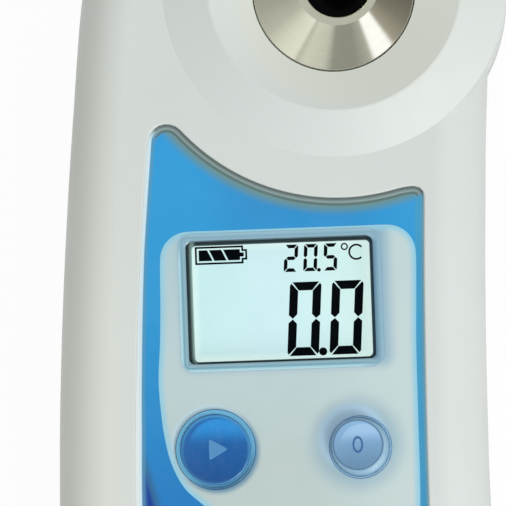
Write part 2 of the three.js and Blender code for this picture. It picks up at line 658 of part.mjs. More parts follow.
// Front housing: shell, drum with the dish round the well, label recess, openings and posts.
function frontHousing() {
  const outer = loft(roundedLevels(0, PARTING_Z, FACE_Z, FRONT_EDGE_RADIUS));
  const head = turned(
    WELL_X,
    WELL_Y,
    [
      [0, PARTING_Z],
      [DRUM_RADIUS, PARTING_Z],
      [DRUM_RADIUS, FACE_Z],
      [RIDGE_RADIUS, BODY_DEPTH],
      [0, BODY_DEPTH],
    ],
    LARGE_SIDES,
  );
  const openZ = PARTING_Z - OVERRUN;
  const hollow = loft(roundedLevels(WALL, openZ, ROOF_Z, FRONT_EDGE_RADIUS - WALL, INNER_EDGE_STEPS));
  const headHollow = drum([[WALL, openZ], [WALL, ROOF_Z]]);
  const postLow = PARTING_Z;
  const posts = [
    ...HOUSING_SCREWS.map(([x, y]) => rod(x, y, postLow, ROOF_Z + OVERRUN, FRONT_POST_RADIUS)),
    ...CHASSIS_SCREWS.map(([x, y]) =>
      rod(x, y, CHASSIS_TOP_Z + SEAT_GAP, ROOF_Z + OVERRUN, CHASSIS_POST_RADIUS)),
    ...BOARD_SCREWS.map(([x, y]) =>
      rod(x, y, BOARD_TOP_Z + SEAT_GAP, ROOF_Z + SEAT_GAP, BOARD_POST_RADIUS),
    ),
  ];
  const shell = join([cut(outer.add(head), [hollow, headHollow]), ...posts]);
  const wellCut = turned(
    WELL_X,
    WELL_Y,
    [
      [0, ROOF_Z - OVERRUN],
      [STAGE_BARREL_RADIUS + FIT_GAP, ROOF_Z - OVERRUN],
      [STAGE_BARREL_RADIUS + FIT_GAP, COUNTERBORE_Z],
      [STAGE_RADIUS + FIT_GAP, COUNTERBORE_Z],
      [STAGE_RADIUS + FIT_GAP, DISH_Z],
      [RIDGE_RADIUS, BODY_DEPTH],
      [RIDGE_RADIUS, BODY_DEPTH + OVERRUN],
      [0, BODY_DEPTH + OVERRUN],
    ],
    LARGE_SIDES,
  );
  const sealGroove = tube(
    WELL_X,
    WELL_Y,
    COUNTERBORE_Z - 2 * STAGE_SEAL_GROOVE,
    COUNTERBORE_Z + OVERRUN,
    STAGE_SEAL_RADIUS - STAGE_SEAL_GROOVE,
    STAGE_SEAL_RADIUS + STAGE_SEAL_GROOVE,
    LARGE_SIDES,
  );
  const openings = [
    wellCut,
    sealGroove,
    plate(panelOutline(FIT_GAP), RECESS_Z, FACE_Z + OVERRUN),
    plate(windowOutline(FRAME_MARGIN + FIT_GAP), ROOF_Z - OVERRUN, RECESS_Z + OVERRUN),
    ...Object.values(BUTTONS).map(({ x, radius }) =>
      rod(x, BUTTON_Y, ROOF_Z - OVERRUN, RECESS_Z + OVERRUN, radius + BUTTON_GAP, BUTTON_SIDES)),
  ];
  const pilots = [
    ...HOUSING_SCREWS.map(([x, y]) =>
      rod(x, y, postLow - OVERRUN, housingScrewTop() + FIT_GAP, HOUSING_SCREW_RADIUS + FIT_GAP)),
    ...CHASSIS_SCREWS.map(([x, y]) =>
      rod(x, y, CHASSIS_TOP_Z, chassisScrewTop() + FIT_GAP, CHASSIS_SCREW_RADIUS + FIT_GAP)),
    ...BOARD_SCREWS.map(([x, y]) =>
      rod(x, y, BOARD_TOP_Z, boardScrewTop() + FIT_GAP, BOARD_SCREW_RADIUS + FIT_GAP)),
  ];
  return cut(shell, [...openings, ...pilots]);
}

// The outline of the cover, or of its recess when it grows.
function coverOutline(grow) {
  const lowY = BAY_Y - COVER_MARGIN - grow;
  const highY = COIN_Y + COVER_TONGUE + grow;
  const width = 2 * (BAY_HALF_WIDTH + COVER_MARGIN + grow);
  return roundedRectangle(GRIP_MIDDLE_X, (lowY + highY) / 2, width, highY - lowY, COVER_CORNER + grow);
}

// The battery bay's inner outline, or one wider or narrower by grow.
function bayOutline(grow) {
  const middleY = BAY_Y + BAY_LENGTH / 2;
  const width = 2 * (BAY_HALF_WIDTH + grow);
  return roundedRectangle(GRIP_MIDDLE_X, middleY, width, BAY_LENGTH + 2 * grow, BAY_CORNER);
}

const insertLow = () => BAY_PAD + INSERT_RISE;
const insertHigh = () => insertLow() + INSERT_HEIGHT;
const insertOuter = () => COIN_SHAFT_RADIUS + FIT_GAP + INSERT_WALL;
const housingScrewTop = () => HOUSING_SCREW_SEAT_Z + HOUSING_SCREW_LENGTH;
const chassisScrewTop = () => CHASSIS_PLATE_Z + CHASSIS_SCREW_LENGTH;
const boardScrewTop = () => BOARD_Z + BOARD_SCREW_LENGTH;

// Rear housing: shell, screw posts, battery bay, cover recess and the coin screw's boss.
function rearHousing() {
  const topZ = PARTING_Z - SEAT_GAP;
  const outerLevels = roundedLevels(0, topZ, 0, BACK_EDGE_RADIUS);
  const innerRadius = BACK_EDGE_RADIUS - WALL;
  const innerLevels = roundedLevels(WALL, topZ + OVERRUN, WALL, innerRadius, INNER_EDGE_STEPS);
  const shell = cut(loft(outerLevels).add(drum(outerLevels)), [loft(innerLevels).add(drum(innerLevels))]);
  const bossRadius = insertOuter() + SEAT_GAP + COIN_BOSS_WALL;
  const solids = [
    shell,
    ...HOUSING_SCREWS.map(([x, y]) => rod(x, y, WALL / 2, topZ, REAR_POST_RADIUS)),
    plate(bayOutline(BAY_WALL), WALL / 2, BAY_ROOF_Z + BAY_ROOF),
    plate(coverOutline(BAY_WALL), WALL / 2, BAY_PAD),
    rod(GRIP_MIDDLE_X, COIN_Y, WALL / 2, insertHigh() + BAY_WALL, bossRadius, BUTTON_SIDES),
  ];
  const cuts = [
    plate(coverOutline(FIT_GAP), -OVERRUN, COVER_RECESS_Z),
    plate(bayOutline(0), 0, BAY_ROOF_Z),
    rod(GRIP_MIDDLE_X, COIN_Y, 0, COVER_BOSS_Z + SEAT_GAP, COVER_BOSS_RADIUS + FIT_GAP, BUTTON_SIDES),
    rod(GRIP_MIDDLE_X, COIN_Y, 0, insertLow() - SEAT_GAP, CLIP_RADIUS + FIT_GAP, BUTTON_SIDES),
    rod(GRIP_MIDDLE_X, COIN_Y, 0, insertHigh() + SEAT_GAP, insertOuter() + SEAT_GAP, BUTTON_SIDES),
    sealRing(SEAL_GAP, PARTING_Z - SEAL_HEIGHT - SEAL_GAP, PARTING_Z + OVERRUN),
    ...HOUSING_SCREWS.flatMap(([x, y]) => [
      rod(x, y, -OVERRUN, HOUSING_SCREW_SEAT_Z, HOUSING_SCREW_HEAD_RADIUS + FIT_GAP),
      rod(x, y, 0, PARTING_Z + OVERRUN, HOUSING_SCREW_RADIUS + FIT_GAP),
    ]),
  ];
  return cut(join(solids), cuts);
}

// The ring of the parting line's seal, or its groove when it grows.
function sealRing(grow, lowZ, highZ) {
  const outer = footprint(SEAL_INSET - grow, lowZ, highZ);
  return outer.subtract(footprint(SEAL_INSET + SEAL_WIDTH + grow, lowZ - OVERRUN, highZ + OVERRUN));
}

// Steel sample stage: flange, polished cone, flat lip over the prism's edge and a barrel for the nut.
function sampleStage() {
  const profile = [
    [PRISM_RADIUS + PRISM_GAP, PRISM_Z + SEAT_GAP],
    [LIP_RADIUS, PRISM_Z + SEAT_GAP],
    [LIP_RADIUS, LIP_Z],
    [LIP_OUTER_RADIUS, LIP_Z],
    [STAGE_RADIUS - STAGE_RIM, STAGE_TOP_Z],
    [STAGE_RADIUS, STAGE_TOP_Z],
    [STAGE_RADIUS, FLANGE_Z],
    [STAGE_BARREL_RADIUS, FLANGE_Z],
    [STAGE_BARREL_RADIUS, BARREL_Z],
    [PRISM_SEAT_RADIUS, BARREL_Z],
    [PRISM_SEAT_RADIUS, PRISM_SEAT_Z],
    [PRISM_RADIUS + PRISM_GAP, PRISM_SEAT_Z],
    [PRISM_RADIUS + PRISM_GAP, PRISM_Z + SEAT_GAP],
  ];
  const bore = rod(
    WELL_X - THERMISTOR_CIRCLE,
    WELL_Y,
    BARREL_Z - OVERRUN,
    BARREL_Z + THERMISTOR_SINK + SEAT_GAP,
    THERMISTOR_RADIUS + THERMISTOR_BORE_GAP,
  );
  return turned(WELL_X, WELL_Y, profile, LARGE_SIDES).subtract(bore);
}

function stageSeal() {
  const centreZ = COUNTERBORE_Z - STAGE_SEAL_GROOVE;
  const section = Array.from({ length: SECTION_STEPS + 1 }, (_, step) => {
    const angle = (2 * Math.PI * step) / SECTION_STEPS;
    return [
      STAGE_SEAL_RADIUS + STAGE_SEAL_SECTION * Math.cos(angle),
      centreZ + STAGE_SEAL_SECTION * Math.sin(angle),
    ];
  });
  return turned(WELL_X, WELL_Y, section, LARGE_SIDES);
}

// Prism: a round measuring face with a wedge below that the light passes through.
function measuringPrism() {
  const barrel = rod(WELL_X, WELL_Y, PRISM_BARREL_Z, PRISM_Z, PRISM_RADIUS, BUTTON_SIDES);
  const wedge = new THREE.Shape([
    new THREE.Vector2(-PRISM_WEDGE_TIP / 2, -PRISM_WEDGE_DEPTH),
    new THREE.Vector2(PRISM_WEDGE_TIP / 2, -PRISM_WEDGE_DEPTH),
    new THREE.Vector2(PRISM_WEDGE_TOP / 2, SEAT_GAP),
    new THREE.Vector2(-PRISM_WEDGE_TOP / 2, SEAT_GAP),
  ]);
  const geometry = new THREE.ExtrudeGeometry(wedge, { depth: PRISM_WEDGE_WIDTH, bevelEnabled: false })
    .translate(0, 0, -PRISM_WEDGE_WIDTH / 2)
    .rotateY(Math.PI / 2)
    .rotateX(Math.PI / 2)
    .translate(WELL_X, WELL_Y, PRISM_BARREL_Z);
  return barrel.add(solid(geometry));
}

// Optical chassis: a plate with three ears, a collar under the prism's seal and a light trough.
function opticalChassis() {
  const ears = CHASSIS_SCREWS.flatMap(([x, y]) => {
    const angle = Math.atan2(y - WELL_Y, x - WELL_X);
    const arm = new THREE.BoxGeometry(CHASSIS_SCREW_CIRCLE, 2 * CHASSIS_EAR_RADIUS, CHASSIS_PLATE)
      .translate(CHASSIS_SCREW_CIRCLE / 2, 0, CHASSIS_PLATE_Z + CHASSIS_PLATE / 2)
      .rotateZ(angle)
      .translate(WELL_X, WELL_Y, 0);
    return [solid(arm), rod(x, y, CHASSIS_PLATE_Z, CHASSIS_TOP_Z, CHASSIS_EAR_RADIUS)];
  });
  const troughOutline = roundedRectangle(
    WELL_X,
    (TROUGH_GRIP_Y + TROUGH_TOP_Y) / 2,
    TROUGH_WIDTH,
    TROUGH_TOP_Y - TROUGH_GRIP_Y,
    TROUGH_CORNER,
  );
  const collarInner = PRISM_RADIUS + COLLAR_GAP;
  const collarTop = PRISM_SEAL_Z - SEAT_GAP;
  const body = join([
    rod(WELL_X, WELL_Y, CHASSIS_PLATE_Z, CHASSIS_TOP_Z, CHASSIS_PLATE_RADIUS, BUTTON_SIDES),
    ...ears,
    plate(troughOutline, TROUGH_Z, CHASSIS_TOP_Z - CHASSIS_PLATE / 2),
    tube(WELL_X, WELL_Y, CHASSIS_PLATE_Z, collarTop, collarInner, collarInner + COLLAR_WALL, BUTTON_SIDES),
  ]);
  const channel = block(
    [WELL_X - CHANNEL_WIDTH / 2, WELL_X + CHANNEL_WIDTH / 2],
    [TROUGH_GRIP_Y - OVERRUN, WELL_Y + CHANNEL_TOWARD_TOP],
    [CHANNEL_Z, CHASSIS_PLATE_Z],
  );
  const lightBore = turnedAlong(WELL_X, OPTICAL_Z, [
    [0, WELL_Y],
    [LIGHT_RADIUS + FIT_GAP, WELL_Y],
    [LIGHT_RADIUS + FIT_GAP, TROUGH_TOP_Y + OVERRUN],
    [0, TROUGH_TOP_Y + OVERRUN],
  ]);
  const screwBores = CHASSIS_SCREWS.map(([x, y]) =>
    rod(x, y, CHASSIS_PLATE_Z - OVERRUN, CHASSIS_TOP_Z + OVERRUN, CHASSIS_SCREW_RADIUS + FIT_GAP));
  const prismBore = rod(WELL_X, WELL_Y, CHANNEL_Z, collarTop + OVERRUN, collarInner, BUTTON_SIDES);
  return cut(body, [channel, lightBore, prismBore, ...screwBores]);
}

function lightSource() {
  const noseY = TROUGH_TOP_Y - LIGHT_LENGTH;
  const dome = Array.from({ length: CORNER_STEPS + 1 }, (_, step) => {
    const angle = (step * Math.PI) / (2 * CORNER_STEPS);
    return [LIGHT_RADIUS * Math.sin(angle), noseY - LIGHT_DOME * Math.cos(angle)];
  });
  return turnedAlong(WELL_X, OPTICAL_Z, [...dome, [LIGHT_RADIUS, TROUGH_TOP_Y], [0, TROUGH_TOP_Y]]);
}

// A lens in the trough, thicker in its middle.
function troughLens(middleY) {
  const radius = CHANNEL_HEIGHT / 2 - LENS_RIM_GAP;
  const half = LENS_RIM_THICKNESS / 2;
  const face = (side) =>
    Array.from({ length: FACE_STEPS + 1 }, (_, step) => {
      const share = step / FACE_STEPS;
      return [radius * share, middleY + side * (half + LENS_CROWN_HEIGHT * (1 - share * share))];
    });
  return turnedAlong(WELL_X, OPTICAL_Z, [...face(-1), ...face(1).reverse()], CELL_SIDES);
}

function slitPlate() {
  const lowY = WELL_Y + SLIT_FROM_WELL;
  const half = CHANNEL_WIDTH / 2 - LENS_RIM_GAP;
  const sheet = block(
    [WELL_X - half, WELL_X + half],
    [lowY, lowY + SLIT_THICKNESS],
    [CHANNEL_Z + LENS_RIM_GAP, CHASSIS_PLATE_Z - LENS_RIM_GAP],
  );
  const slit = block(
    [WELL_X - SLIT_WIDTH / 2, WELL_X + SLIT_WIDTH / 2],
    [lowY - OVERRUN, lowY + SLIT_THICKNESS + OVERRUN],
    [OPTICAL_Z - SLIT_HEIGHT / 2, OPTICAL_Z + SLIT_HEIGHT / 2],
  );
  return sheet.subtract(slit);
}

function imageSensor() {
  return block(
    [WELL_X - SENSOR_WIDTH / 2, WELL_X + SENSOR_WIDTH / 2],
    [TROUGH_GRIP_Y, TROUGH_GRIP_Y + SENSOR_THICKNESS],
    [OPTICAL_Z - SENSOR_HEIGHT / 2, OPTICAL_Z + SENSOR_HEIGHT / 2],
  );
}

const sensorBoardY = () => TROUGH_GRIP_Y - SEAT_GAP - SENSOR_BOARD_THICKNESS;

function sensorBoard() {
  return block(
    [WELL_X - TROUGH_WIDTH / 2, WELL_X + TROUGH_WIDTH / 2],
    [sensorBoardY(), sensorBoardY() + SENSOR_BOARD_THICKNESS],
    [TROUGH_Z, CHASSIS_PLATE_Z - SEAT_GAP],
  );
}

// Flat cable from the back of the sensor board to the underside of the main board.
function sensorCable() {
  const backY = sensorBoardY() - SEAT_GAP - CABLE_THICKNESS / 2;
  const underZ = BOARD_Z - SEAT_GAP - CABLE_THICKNESS / 2;
  const bend = backY - BOARD_TOP_Y;
  const middle = new THREE.Vector2((backY + BOARD_TOP_Y) / 2, underZ - bend);
  const route = new THREE.SplineCurve([
    new THREE.Vector2(backY, OPTICAL_Z + bend / 2),
    new THREE.Vector2(backY - bend / 4, middle.y - bend / 2),
    middle,
    new THREE.Vector2(BOARD_TOP_Y, underZ - bend / 8),
    new THREE.Vector2(BOARD_TOP_Y - CABLE_LAP, underZ),
  ]);
  const edge = (side) =>
    Array.from({ length: CABLE_STEPS + 1 }, (_, step) => {
      const place = route.getPoint(step / CABLE_STEPS);
      const heading = route.getTangent(step / CABLE_STEPS);
      const reach = (side * CABLE_THICKNESS) / 2;
      return new THREE.Vector2(place.x - reach * heading.y, place.y + reach * heading.x);
    });
  const strip = new THREE.Shape([...edge(1), ...edge(-1).reverse()]);
  const geometry = new THREE.ExtrudeGeometry(strip, { depth: CABLE_WIDTH, bevelEnabled: false })
    .rotateY(Math.PI / 2)
    .rotateX(Math.PI / 2)
    .translate(WELL_X - CABLE_SHIFT - CABLE_WIDTH / 2, 0, 0);
  return solid(geometry);
}

function temperatureSensor() {
  return rod(
    WELL_X - THERMISTOR_CIRCLE,
    WELL_Y,
    CHASSIS_TOP_Z + SEAT_GAP,
    BARREL_Z + THERMISTOR_SINK,
    THERMISTOR_RADIUS,
  );
}

// A screw whose head hangs below its seat and whose shank runs up from it.
function screw([x, y], seatZ, length, radius, headRadius, headHeight) {
  return turned(x, y, [
    [0, seatZ - headHeight],
    [headRadius, seatZ - headHeight],
    [headRadius, seatZ],
    [radius, seatZ],
    [radius, seatZ + length],
    [0, seatZ + length],
  ]);
}

function lcdHolder() {
  const outer = plate(
    windowOutline(GLASS_MARGIN + SEAT_GAP + HOLDER_WALL),
    BOARD_TOP_Z + SEAT_GAP,
    FRAME_Z - SEAT_GAP,
  );
  const glassPocket = plate(windowOutline(GLASS_MARGIN + SEAT_GAP), REFLECTOR_Z - SEAT_GAP, FRAME_Z);
  const core = plate(
    windowOutline(-HOLDER_LEDGE),
    BOARD_TOP_Z + HOLDER_FLOOR,
    REFLECTOR_Z,
  );
  const slot = block(
    connectorX(FIT_GAP),
    connectorY(FIT_GAP),
    [BOARD_TOP_Z, REFLECTOR_Z],
  );
  return cut(outer, [glassPocket, core, slot]);
}

const connectorX = (grow) => [
  WINDOW_X - WINDOW_WIDTH / 2 + CONNECTOR_SIDE - grow,
  WINDOW_X + WINDOW_WIDTH / 2 - CONNECTOR_SIDE + grow,
];
const connectorY = (grow) => [
  WINDOW_Y - WINDOW_HEIGHT / 2 - grow,
  WINDOW_Y - WINDOW_HEIGHT / 2 + CONNECTOR_WIDTH + grow,
];

// A button cap: a shallow cone with a soft edge, a flange under the roof and a stem.
function buttonCap({ x, radius, topRadius, rise }) {
  const topZ = PANEL_TOP_Z + rise;
  const edgeMiddle = [topRadius - BUTTON_EDGE, topZ - BUTTON_EDGE];
  const edge = arcPoints(edgeMiddle, BUTTON_EDGE, 0, Math.PI / 2, CORNER_STEPS);
  return turned(
    x,
    BUTTON_Y,
    [
      [0, STEM_Z],
      [STEM_RADIUS, STEM_Z],
      [STEM_RADIUS, FLANGE_BOTTOM_Z],
      [radius + BUTTON_FLANGE_REACH, FLANGE_BOTTOM_Z],
      [radius + BUTTON_FLANGE_REACH, FLANGE_TOP_Z],
      [radius, FLANGE_TOP_Z],
      [radius, PANEL_TOP_Z],
      ...edge,
      [0, topZ],
    ],
    BUTTON_SIDES,
  );
}

// The ring that trims a button's hole in the label panel.
function buttonRing({ x, radius, ringRadius, ringRise }) {
  const topZ = PANEL_TOP_Z + ringRise;
  const inner = radius + BUTTON_GAP;
  return turned(
    x,
    BUTTON_Y,
    [
      [inner, PANEL_Z],
      [ringRadius, PANEL_Z],
      [ringRadius, PANEL_TOP_Z + ringRise / 2],
      [(inner + ringRadius) / 2, topZ],
      [inner, PANEL_TOP_Z + ringRise / 2],
      [inner, PANEL_Z],
    ],
    BUTTON_SIDES,
  );
}

function keypadMat() {
  const outline = roundedRectangle(BUTTON_MIDDLE_X, BUTTON_Y, MAT_WIDTH, MAT_LENGTH, MAT_CORNER);
  const sheet = plate(outline, MAT_Z, ROOF_Z - SEAT_GAP);
  const cuts = Object.values(BUTTONS).flatMap(({ x, radius }) => [
    rod(
      x,
      BUTTON_Y,
      MAT_FLOOR_Z,
      ROOF_Z,
      radius + BUTTON_FLANGE_REACH + MAT_POCKET_GAP,
      BUTTON_SIDES,
    ),
    rod(x, BUTTON_Y, MAT_Z - OVERRUN, MAT_FLOOR_Z + OVERRUN, STEM_RADIUS + FIT_GAP),
  ]);
  return cut(sheet, cuts);
}

function touchSwitch({ x }) {
  const base = plate(
    roundedRectangle(x, BUTTON_Y, SWITCH_SIZE, SWITCH_SIZE, SWITCH_CORNER),
    SWITCH_Z,
    SWITCH_Z + SWITCH_HEIGHT,
  );
  return base.add(rod(x, BUTTON_Y, SWITCH_Z + SWITCH_HEIGHT - SEAT_GAP, PLUNGER_Z, SWITCH_PLUNGER_RADIUS));
}

function labelPanel() {
  const sheet = plate(panelOutline(0), PANEL_Z, PANEL_TOP_Z);
  const holes = Object.values(BUTTONS).map(({ x, ringRadius }) =>
    rod(x, BUTTON_Y, PANEL_Z - OVERRUN, PANEL_TOP_Z + OVERRUN, ringRadius + SEAT_GAP, BUTTON_SIDES));
  return cut(sheet, [plate(windowOutline(0), PANEL_Z - OVERRUN, PANEL_TOP_Z + OVERRUN), ...holes]);
}

function mainBoard() {
  const middleY = (BOARD_TOP_Y + BOARD_END_Y) / 2;
  const outline = roundedRectangle(
    (BOARD_RIGHT_X + BOARD_LEFT_X) / 2,
    middleY,
    BOARD_RIGHT_X - BOARD_LEFT_X,
    BOARD_TOP_Y - BOARD_END_Y,
    BOARD_CORNER,
  );
  const bores = BOARD_SCREWS.map(([x, y]) =>
    rod(x, y, BOARD_Z - OVERRUN, BOARD_TOP_Z + OVERRUN, BOARD_SCREW_RADIUS + FIT_GAP));
  return cut(plate(outline, BOARD_Z, BOARD_TOP_Z), bores);
}

const plateLowY = () => BAY_Y + SEAT_GAP;
const plateHighY = () => BAY_Y + BAY_LENGTH - SEAT_GAP - PLATE_THICKNESS;
const nubTipLow = () => plateLowY() + PLATE_THICKNESS + SEAT_GAP;
const nubTipHigh = () => plateHighY() - SEAT_GAP;

// A battery whose raised end points to the head (1) or to the grip's end (-1).
function battery(x, towardHead) {
  const tip = towardHead > 0 ? nubTipHigh() : nubTipLow();
  const along = (distance) => tip - towardHead * distance;
  return turnedAlong(
    x,
    BATTERY_Z,
    [
      [0, along(0)],
      [BATTERY_NUB_RADIUS, along(0)],
      [BATTERY_NUB_RADIUS, along(BATTERY_NUB)],
      [BATTERY_RADIUS - BATTERY_EDGE, along(BATTERY_NUB)],
      [BATTERY_RADIUS, along(BATTERY_NUB + BATTERY_EDGE)],
      [BATTERY_RADIUS, along(BATTERY_LENGTH - BATTERY_EDGE)],
      [BATTERY_RADIUS - BATTERY_EDGE, along(BATTERY_LENGTH)],
      [0, along(BATTERY_LENGTH)],
    ],
    CELL_SIDES,
  );
}

// The cone of a contact spring between its plate and a battery's flat end.
function contactSpring(x, baseY, tipY) {
  return turnedAlong(x, BATTERY_Z, [
    [0, baseY],
    [SPRING_BASE_RADIUS, baseY],
    [SPRING_TIP_RADIUS, tipY],
    [0, tipY],
  ]);
}

// An upright contact plate across the bay.
function contactPlate([lowX, highX], lowY) {
  const outline = roundedRectangle((lowX + highX) / 2, BATTERY_Z, highX - lowX, PLATE_WIDTH, PLATE_CORNER);
  const shape = new THREE.Shape(outline.map(([x, z]) => new THREE.Vector2(x, z)));
  const geometry = new THREE.ExtrudeGeometry(shape, { depth: PLATE_THICKNESS, bevelEnabled: false });
  return solid(geometry.rotateX(Math.PI / 2).translate(0, lowY + PLATE_THICKNESS, 0));
}

function batteryCover() {
  const boss = rod(GRIP_MIDDLE_X, COIN_Y, COVER_LIFT, COVER_BOSS_Z, COVER_BOSS_RADIUS, BUTTON_SIDES);
  const whole = join([
    plate(coverOutline(0), COVER_LIFT, COVER_TOP_Z),
    plate(bayOutline(-COVER_PLUG_INSET), COVER_LIFT, COVER_TOP_Z + COVER_PLUG),
    boss,
  ]);
  const headSeatZ = COVER_LIFT + COIN_HEAD + SEAT_GAP;
  return cut(whole, [
    coverSealRing(SEAT_GAP, COVER_TOP_Z - COVER_SEAL_DEPTH, COVER_TOP_Z + COVER_PLUG),
    rod(GRIP_MIDDLE_X, COIN_Y, -OVERRUN, headSeatZ, COIN_HEAD_RADIUS + FIT_GAP, BUTTON_SIDES),
    rod(GRIP_MIDDLE_X, COIN_Y, 0, COVER_BOSS_Z + OVERRUN, COIN_SHAFT_RADIUS + FIT_GAP),
  ]);
}

// The cover's seal round the bay's mouth, or its groove when it grows.
function coverSealRing(grow, lowZ, highZ) {
  const inner = COVER_MARGIN - COVER_SEAL_INSET - COVER_SEAL_WIDTH;
  const outer = inner + COVER_SEAL_WIDTH;
  return plate(bayOutline(outer + grow), lowZ, highZ).subtract(
    plate(bayOutline(inner - grow), lowZ - OVERRUN, highZ + OVERRUN),
  );
}

// Coin screw: slotted head, neck for the clip and a shank, held captive in the cover.
function coinScrew() {
  const headTop = COVER_LIFT + COIN_HEAD;
  const neckLow = COVER_BOSS_Z;
  const body = turned(
    GRIP_MIDDLE_X,
    COIN_Y,
    [
      [0, COVER_LIFT],
      [COIN_HEAD_RADIUS, COVER_LIFT],
      [COIN_HEAD_RADIUS, headTop],
      [COIN_SHAFT_RADIUS, headTop],
      [COIN_SHAFT_RADIUS, neckLow],
      [COIN_NECK_RADIUS, neckLow],
      [COIN_NECK_RADIUS, neckLow + COIN_NECK_HEIGHT],
      [COIN_SHAFT_RADIUS, neckLow + COIN_NECK_HEIGHT],
      [COIN_SHAFT_RADIUS, headTop + COIN_SHAFT_LENGTH],
      [0, headTop + COIN_SHAFT_LENGTH],
    ],
    BUTTON_SIDES,
  );
  const slot = block(
    [GRIP_MIDDLE_X - COIN_HEAD_RADIUS - OVERRUN, GRIP_MIDDLE_X + COIN_HEAD_RADIUS + OVERRUN],
    [COIN_Y - COIN_SLOT / 2, COIN_Y + COIN_SLOT / 2],
    [-OVERRUN, COVER_LIFT + COIN_SLOT_DEPTH],
  );
  return body.subtract(slot);
}

const group = new THREE.Group();

function add(name, body, material) {
  const { vertProperties, triVerts } = body.getMesh();
  const geometry = new THREE.BufferGeometry();
  geometry.setAttribute('position', new THREE.BufferAttribute(vertProperties, 3));
  geometry.setIndex(new THREE.BufferAttribute(triVerts, 1));
  geometry.computeVertexNormals();
  const mesh = new THREE.Mesh(geometry, material);
  mesh.name = name;
  group.add(mesh);
}

// Housing
add('front_housing', frontHousing(), shellPlastic);
add('rear_housing', rearHousing(), backPlastic);
add('housing_seal', sealRing(0, PARTING_Z - SEAL_HEIGHT, PARTING_Z - SEAT_GAP), rubber);
HOUSING_SCREWS.forEach((place, index) => {
  const seat = HOUSING_SCREW_SEAT_Z - SEAT_GAP;
  const body = screw(
    place,
    seat,
    HOUSING_SCREW_LENGTH,
    HOUSING_SCREW_RADIUS,
    HOUSING_SCREW_HEAD_RADIUS,
    HOUSING_SCREW_HEAD,
  );
  add(`housing_screw_${index + 1}`, body, screwSteel);
});

// Sample well
const nutLow = ROOF_Z - SEAT_GAP - NUT_HEIGHT;
add('sample_stage', sampleStage(), steel);
add('stage_seal', stageSeal(), rubber);
add(
  'stage_nut',
  tube(
    WELL_X,
    WELL_Y,
    nutLow,
    nutLow + NUT_HEIGHT,
    STAGE_BARREL_RADIUS + FIT_GAP,
    NUT_RADIUS,
    LARGE_SIDES,
  ),
  brass,
);
add('prism', measuringPrism(), opticalGlass);
add(
  'prism_seal',
  tube(
    WELL_X,
    WELL_Y,
    PRISM_SEAL_Z,
    PRISM_SEAL_Z + PRISM_SEAL_HEIGHT,
    PRISM_RADIUS + PRISM_SEAL_GAP,
    PRISM_SEAT_RADIUS - PRISM_SEAL_GAP,
    BUTTON_SIDES,
  ),
  rubber,
);

// Optics
add('optical_chassis', opticalChassis(), blackPlastic);
add('light_source', lightSource(), clearPlastic);
add('condenser_lens', troughLens(WELL_Y + CONDENSER_FROM_WELL), displayGlass);
add('slit_plate', slitPlate(), blackPlastic);
add('collector_lens', troughLens(WELL_Y - COLLECTOR_FROM_WELL), displayGlass);
add('image_sensor', imageSensor(), blackPlastic);
add('sensor_board', sensorBoard(), boardGreen);
add('sensor_cable', sensorCable(), labelPlastic);
add('temperature_sensor', temperatureSensor(), blackPlastic);
CHASSIS_SCREWS.forEach((place, index) => {
  const body = screw(
    place,
    CHASSIS_PLATE_Z - SEAT_GAP,
    CHASSIS_SCREW_LENGTH,
    CHASSIS_SCREW_RADIUS,
    CHASSIS_SCREW_HEAD_RADIUS,
    CHASSIS_SCREW_HEAD,
  );
  add(`chassis_screw_${index + 1}`, body, screwSteel);
});

// Label panel and display
const windowFrame = plate(windowOutline(FRAME_MARGIN), FRAME_Z, RECESS_Z).subtract(
  plate(windowOutline(-FRAME_SIGHT), FRAME_Z - OVERRUN, RECESS_Z + OVERRUN),
);
const lensZ = RECESS_Z + WINDOW_LENS_LIFT;
add('label_panel', labelPanel(), labelPlastic);
add('display_window', plate(windowOutline(-SEAT_GAP), lensZ, lensZ + WINDOW_LENS_THICKNESS), clearPlastic);
add('window_frame', windowFrame, blackPlastic);
add('lcd_glass', plate(windowOutline(GLASS_MARGIN), GLASS_Z, GLASS_Z + GLASS_THICKNESS), displayGlass);
add(
  'lcd_reflector',
  plate(windowOutline(0), REFLECTOR_Z, REFLECTOR_Z + REFLECTOR_THICKNESS).subtract(
    block(connectorX(FIT_GAP), [WINDOW_Y - WINDOW_HEIGHT, connectorY(FIT_GAP)[1]], [BOARD_TOP_Z, GLASS_Z]),
  ),
  springMetal,
);
add('lcd_holder', lcdHolder(), blackPlastic);
add(
  'lcd_connector',
  block(connectorX(0), connectorY(0), [BOARD_TOP_Z + SEAT_GAP, GLASS_Z - SEAT_GAP]),
  rubber,
);

// Buttons
add('start_button', buttonCap(BUTTONS.start), startPlastic);
add('start_button_ring', buttonRing(BUTTONS.start), ringPlastic);
add('start_switch', touchSwitch(BUTTONS.start), blackPlastic);
add('zero_button', buttonCap(BUTTONS.zero), zeroPlastic);
add('zero_button_ring', buttonRing(BUTTONS.zero), ringPlastic);
add('zero_switch', touchSwitch(BUTTONS.zero), blackPlastic);
add('keypad_mat', keypadMat(), rubber);

// Main board
const chipTop = BOARD_Z - SEAT_GAP;
const chipOutline = roundedRectangle(GRIP_MIDDLE_X, CHIP_Y, CHIP_SIZE, CHIP_SIZE, CHIP_CORNER);
add('main_board', mainBoard(), boardGreen);
add('processor_chip', plate(chipOutline, chipTop - CHIP_HEIGHT, chipTop), blackPlastic);
BOARD_SCREWS.forEach((place, index) => {
  const body = screw(
    place,
    BOARD_Z - SEAT_GAP,
    BOARD_SCREW_LENGTH,
    BOARD_SCREW_RADIUS,
    BOARD_SCREW_HEAD_RADIUS,
    BOARD_SCREW_HEAD,
  );
  add(`board_screw_${index + 1}`, body, screwSteel);
});

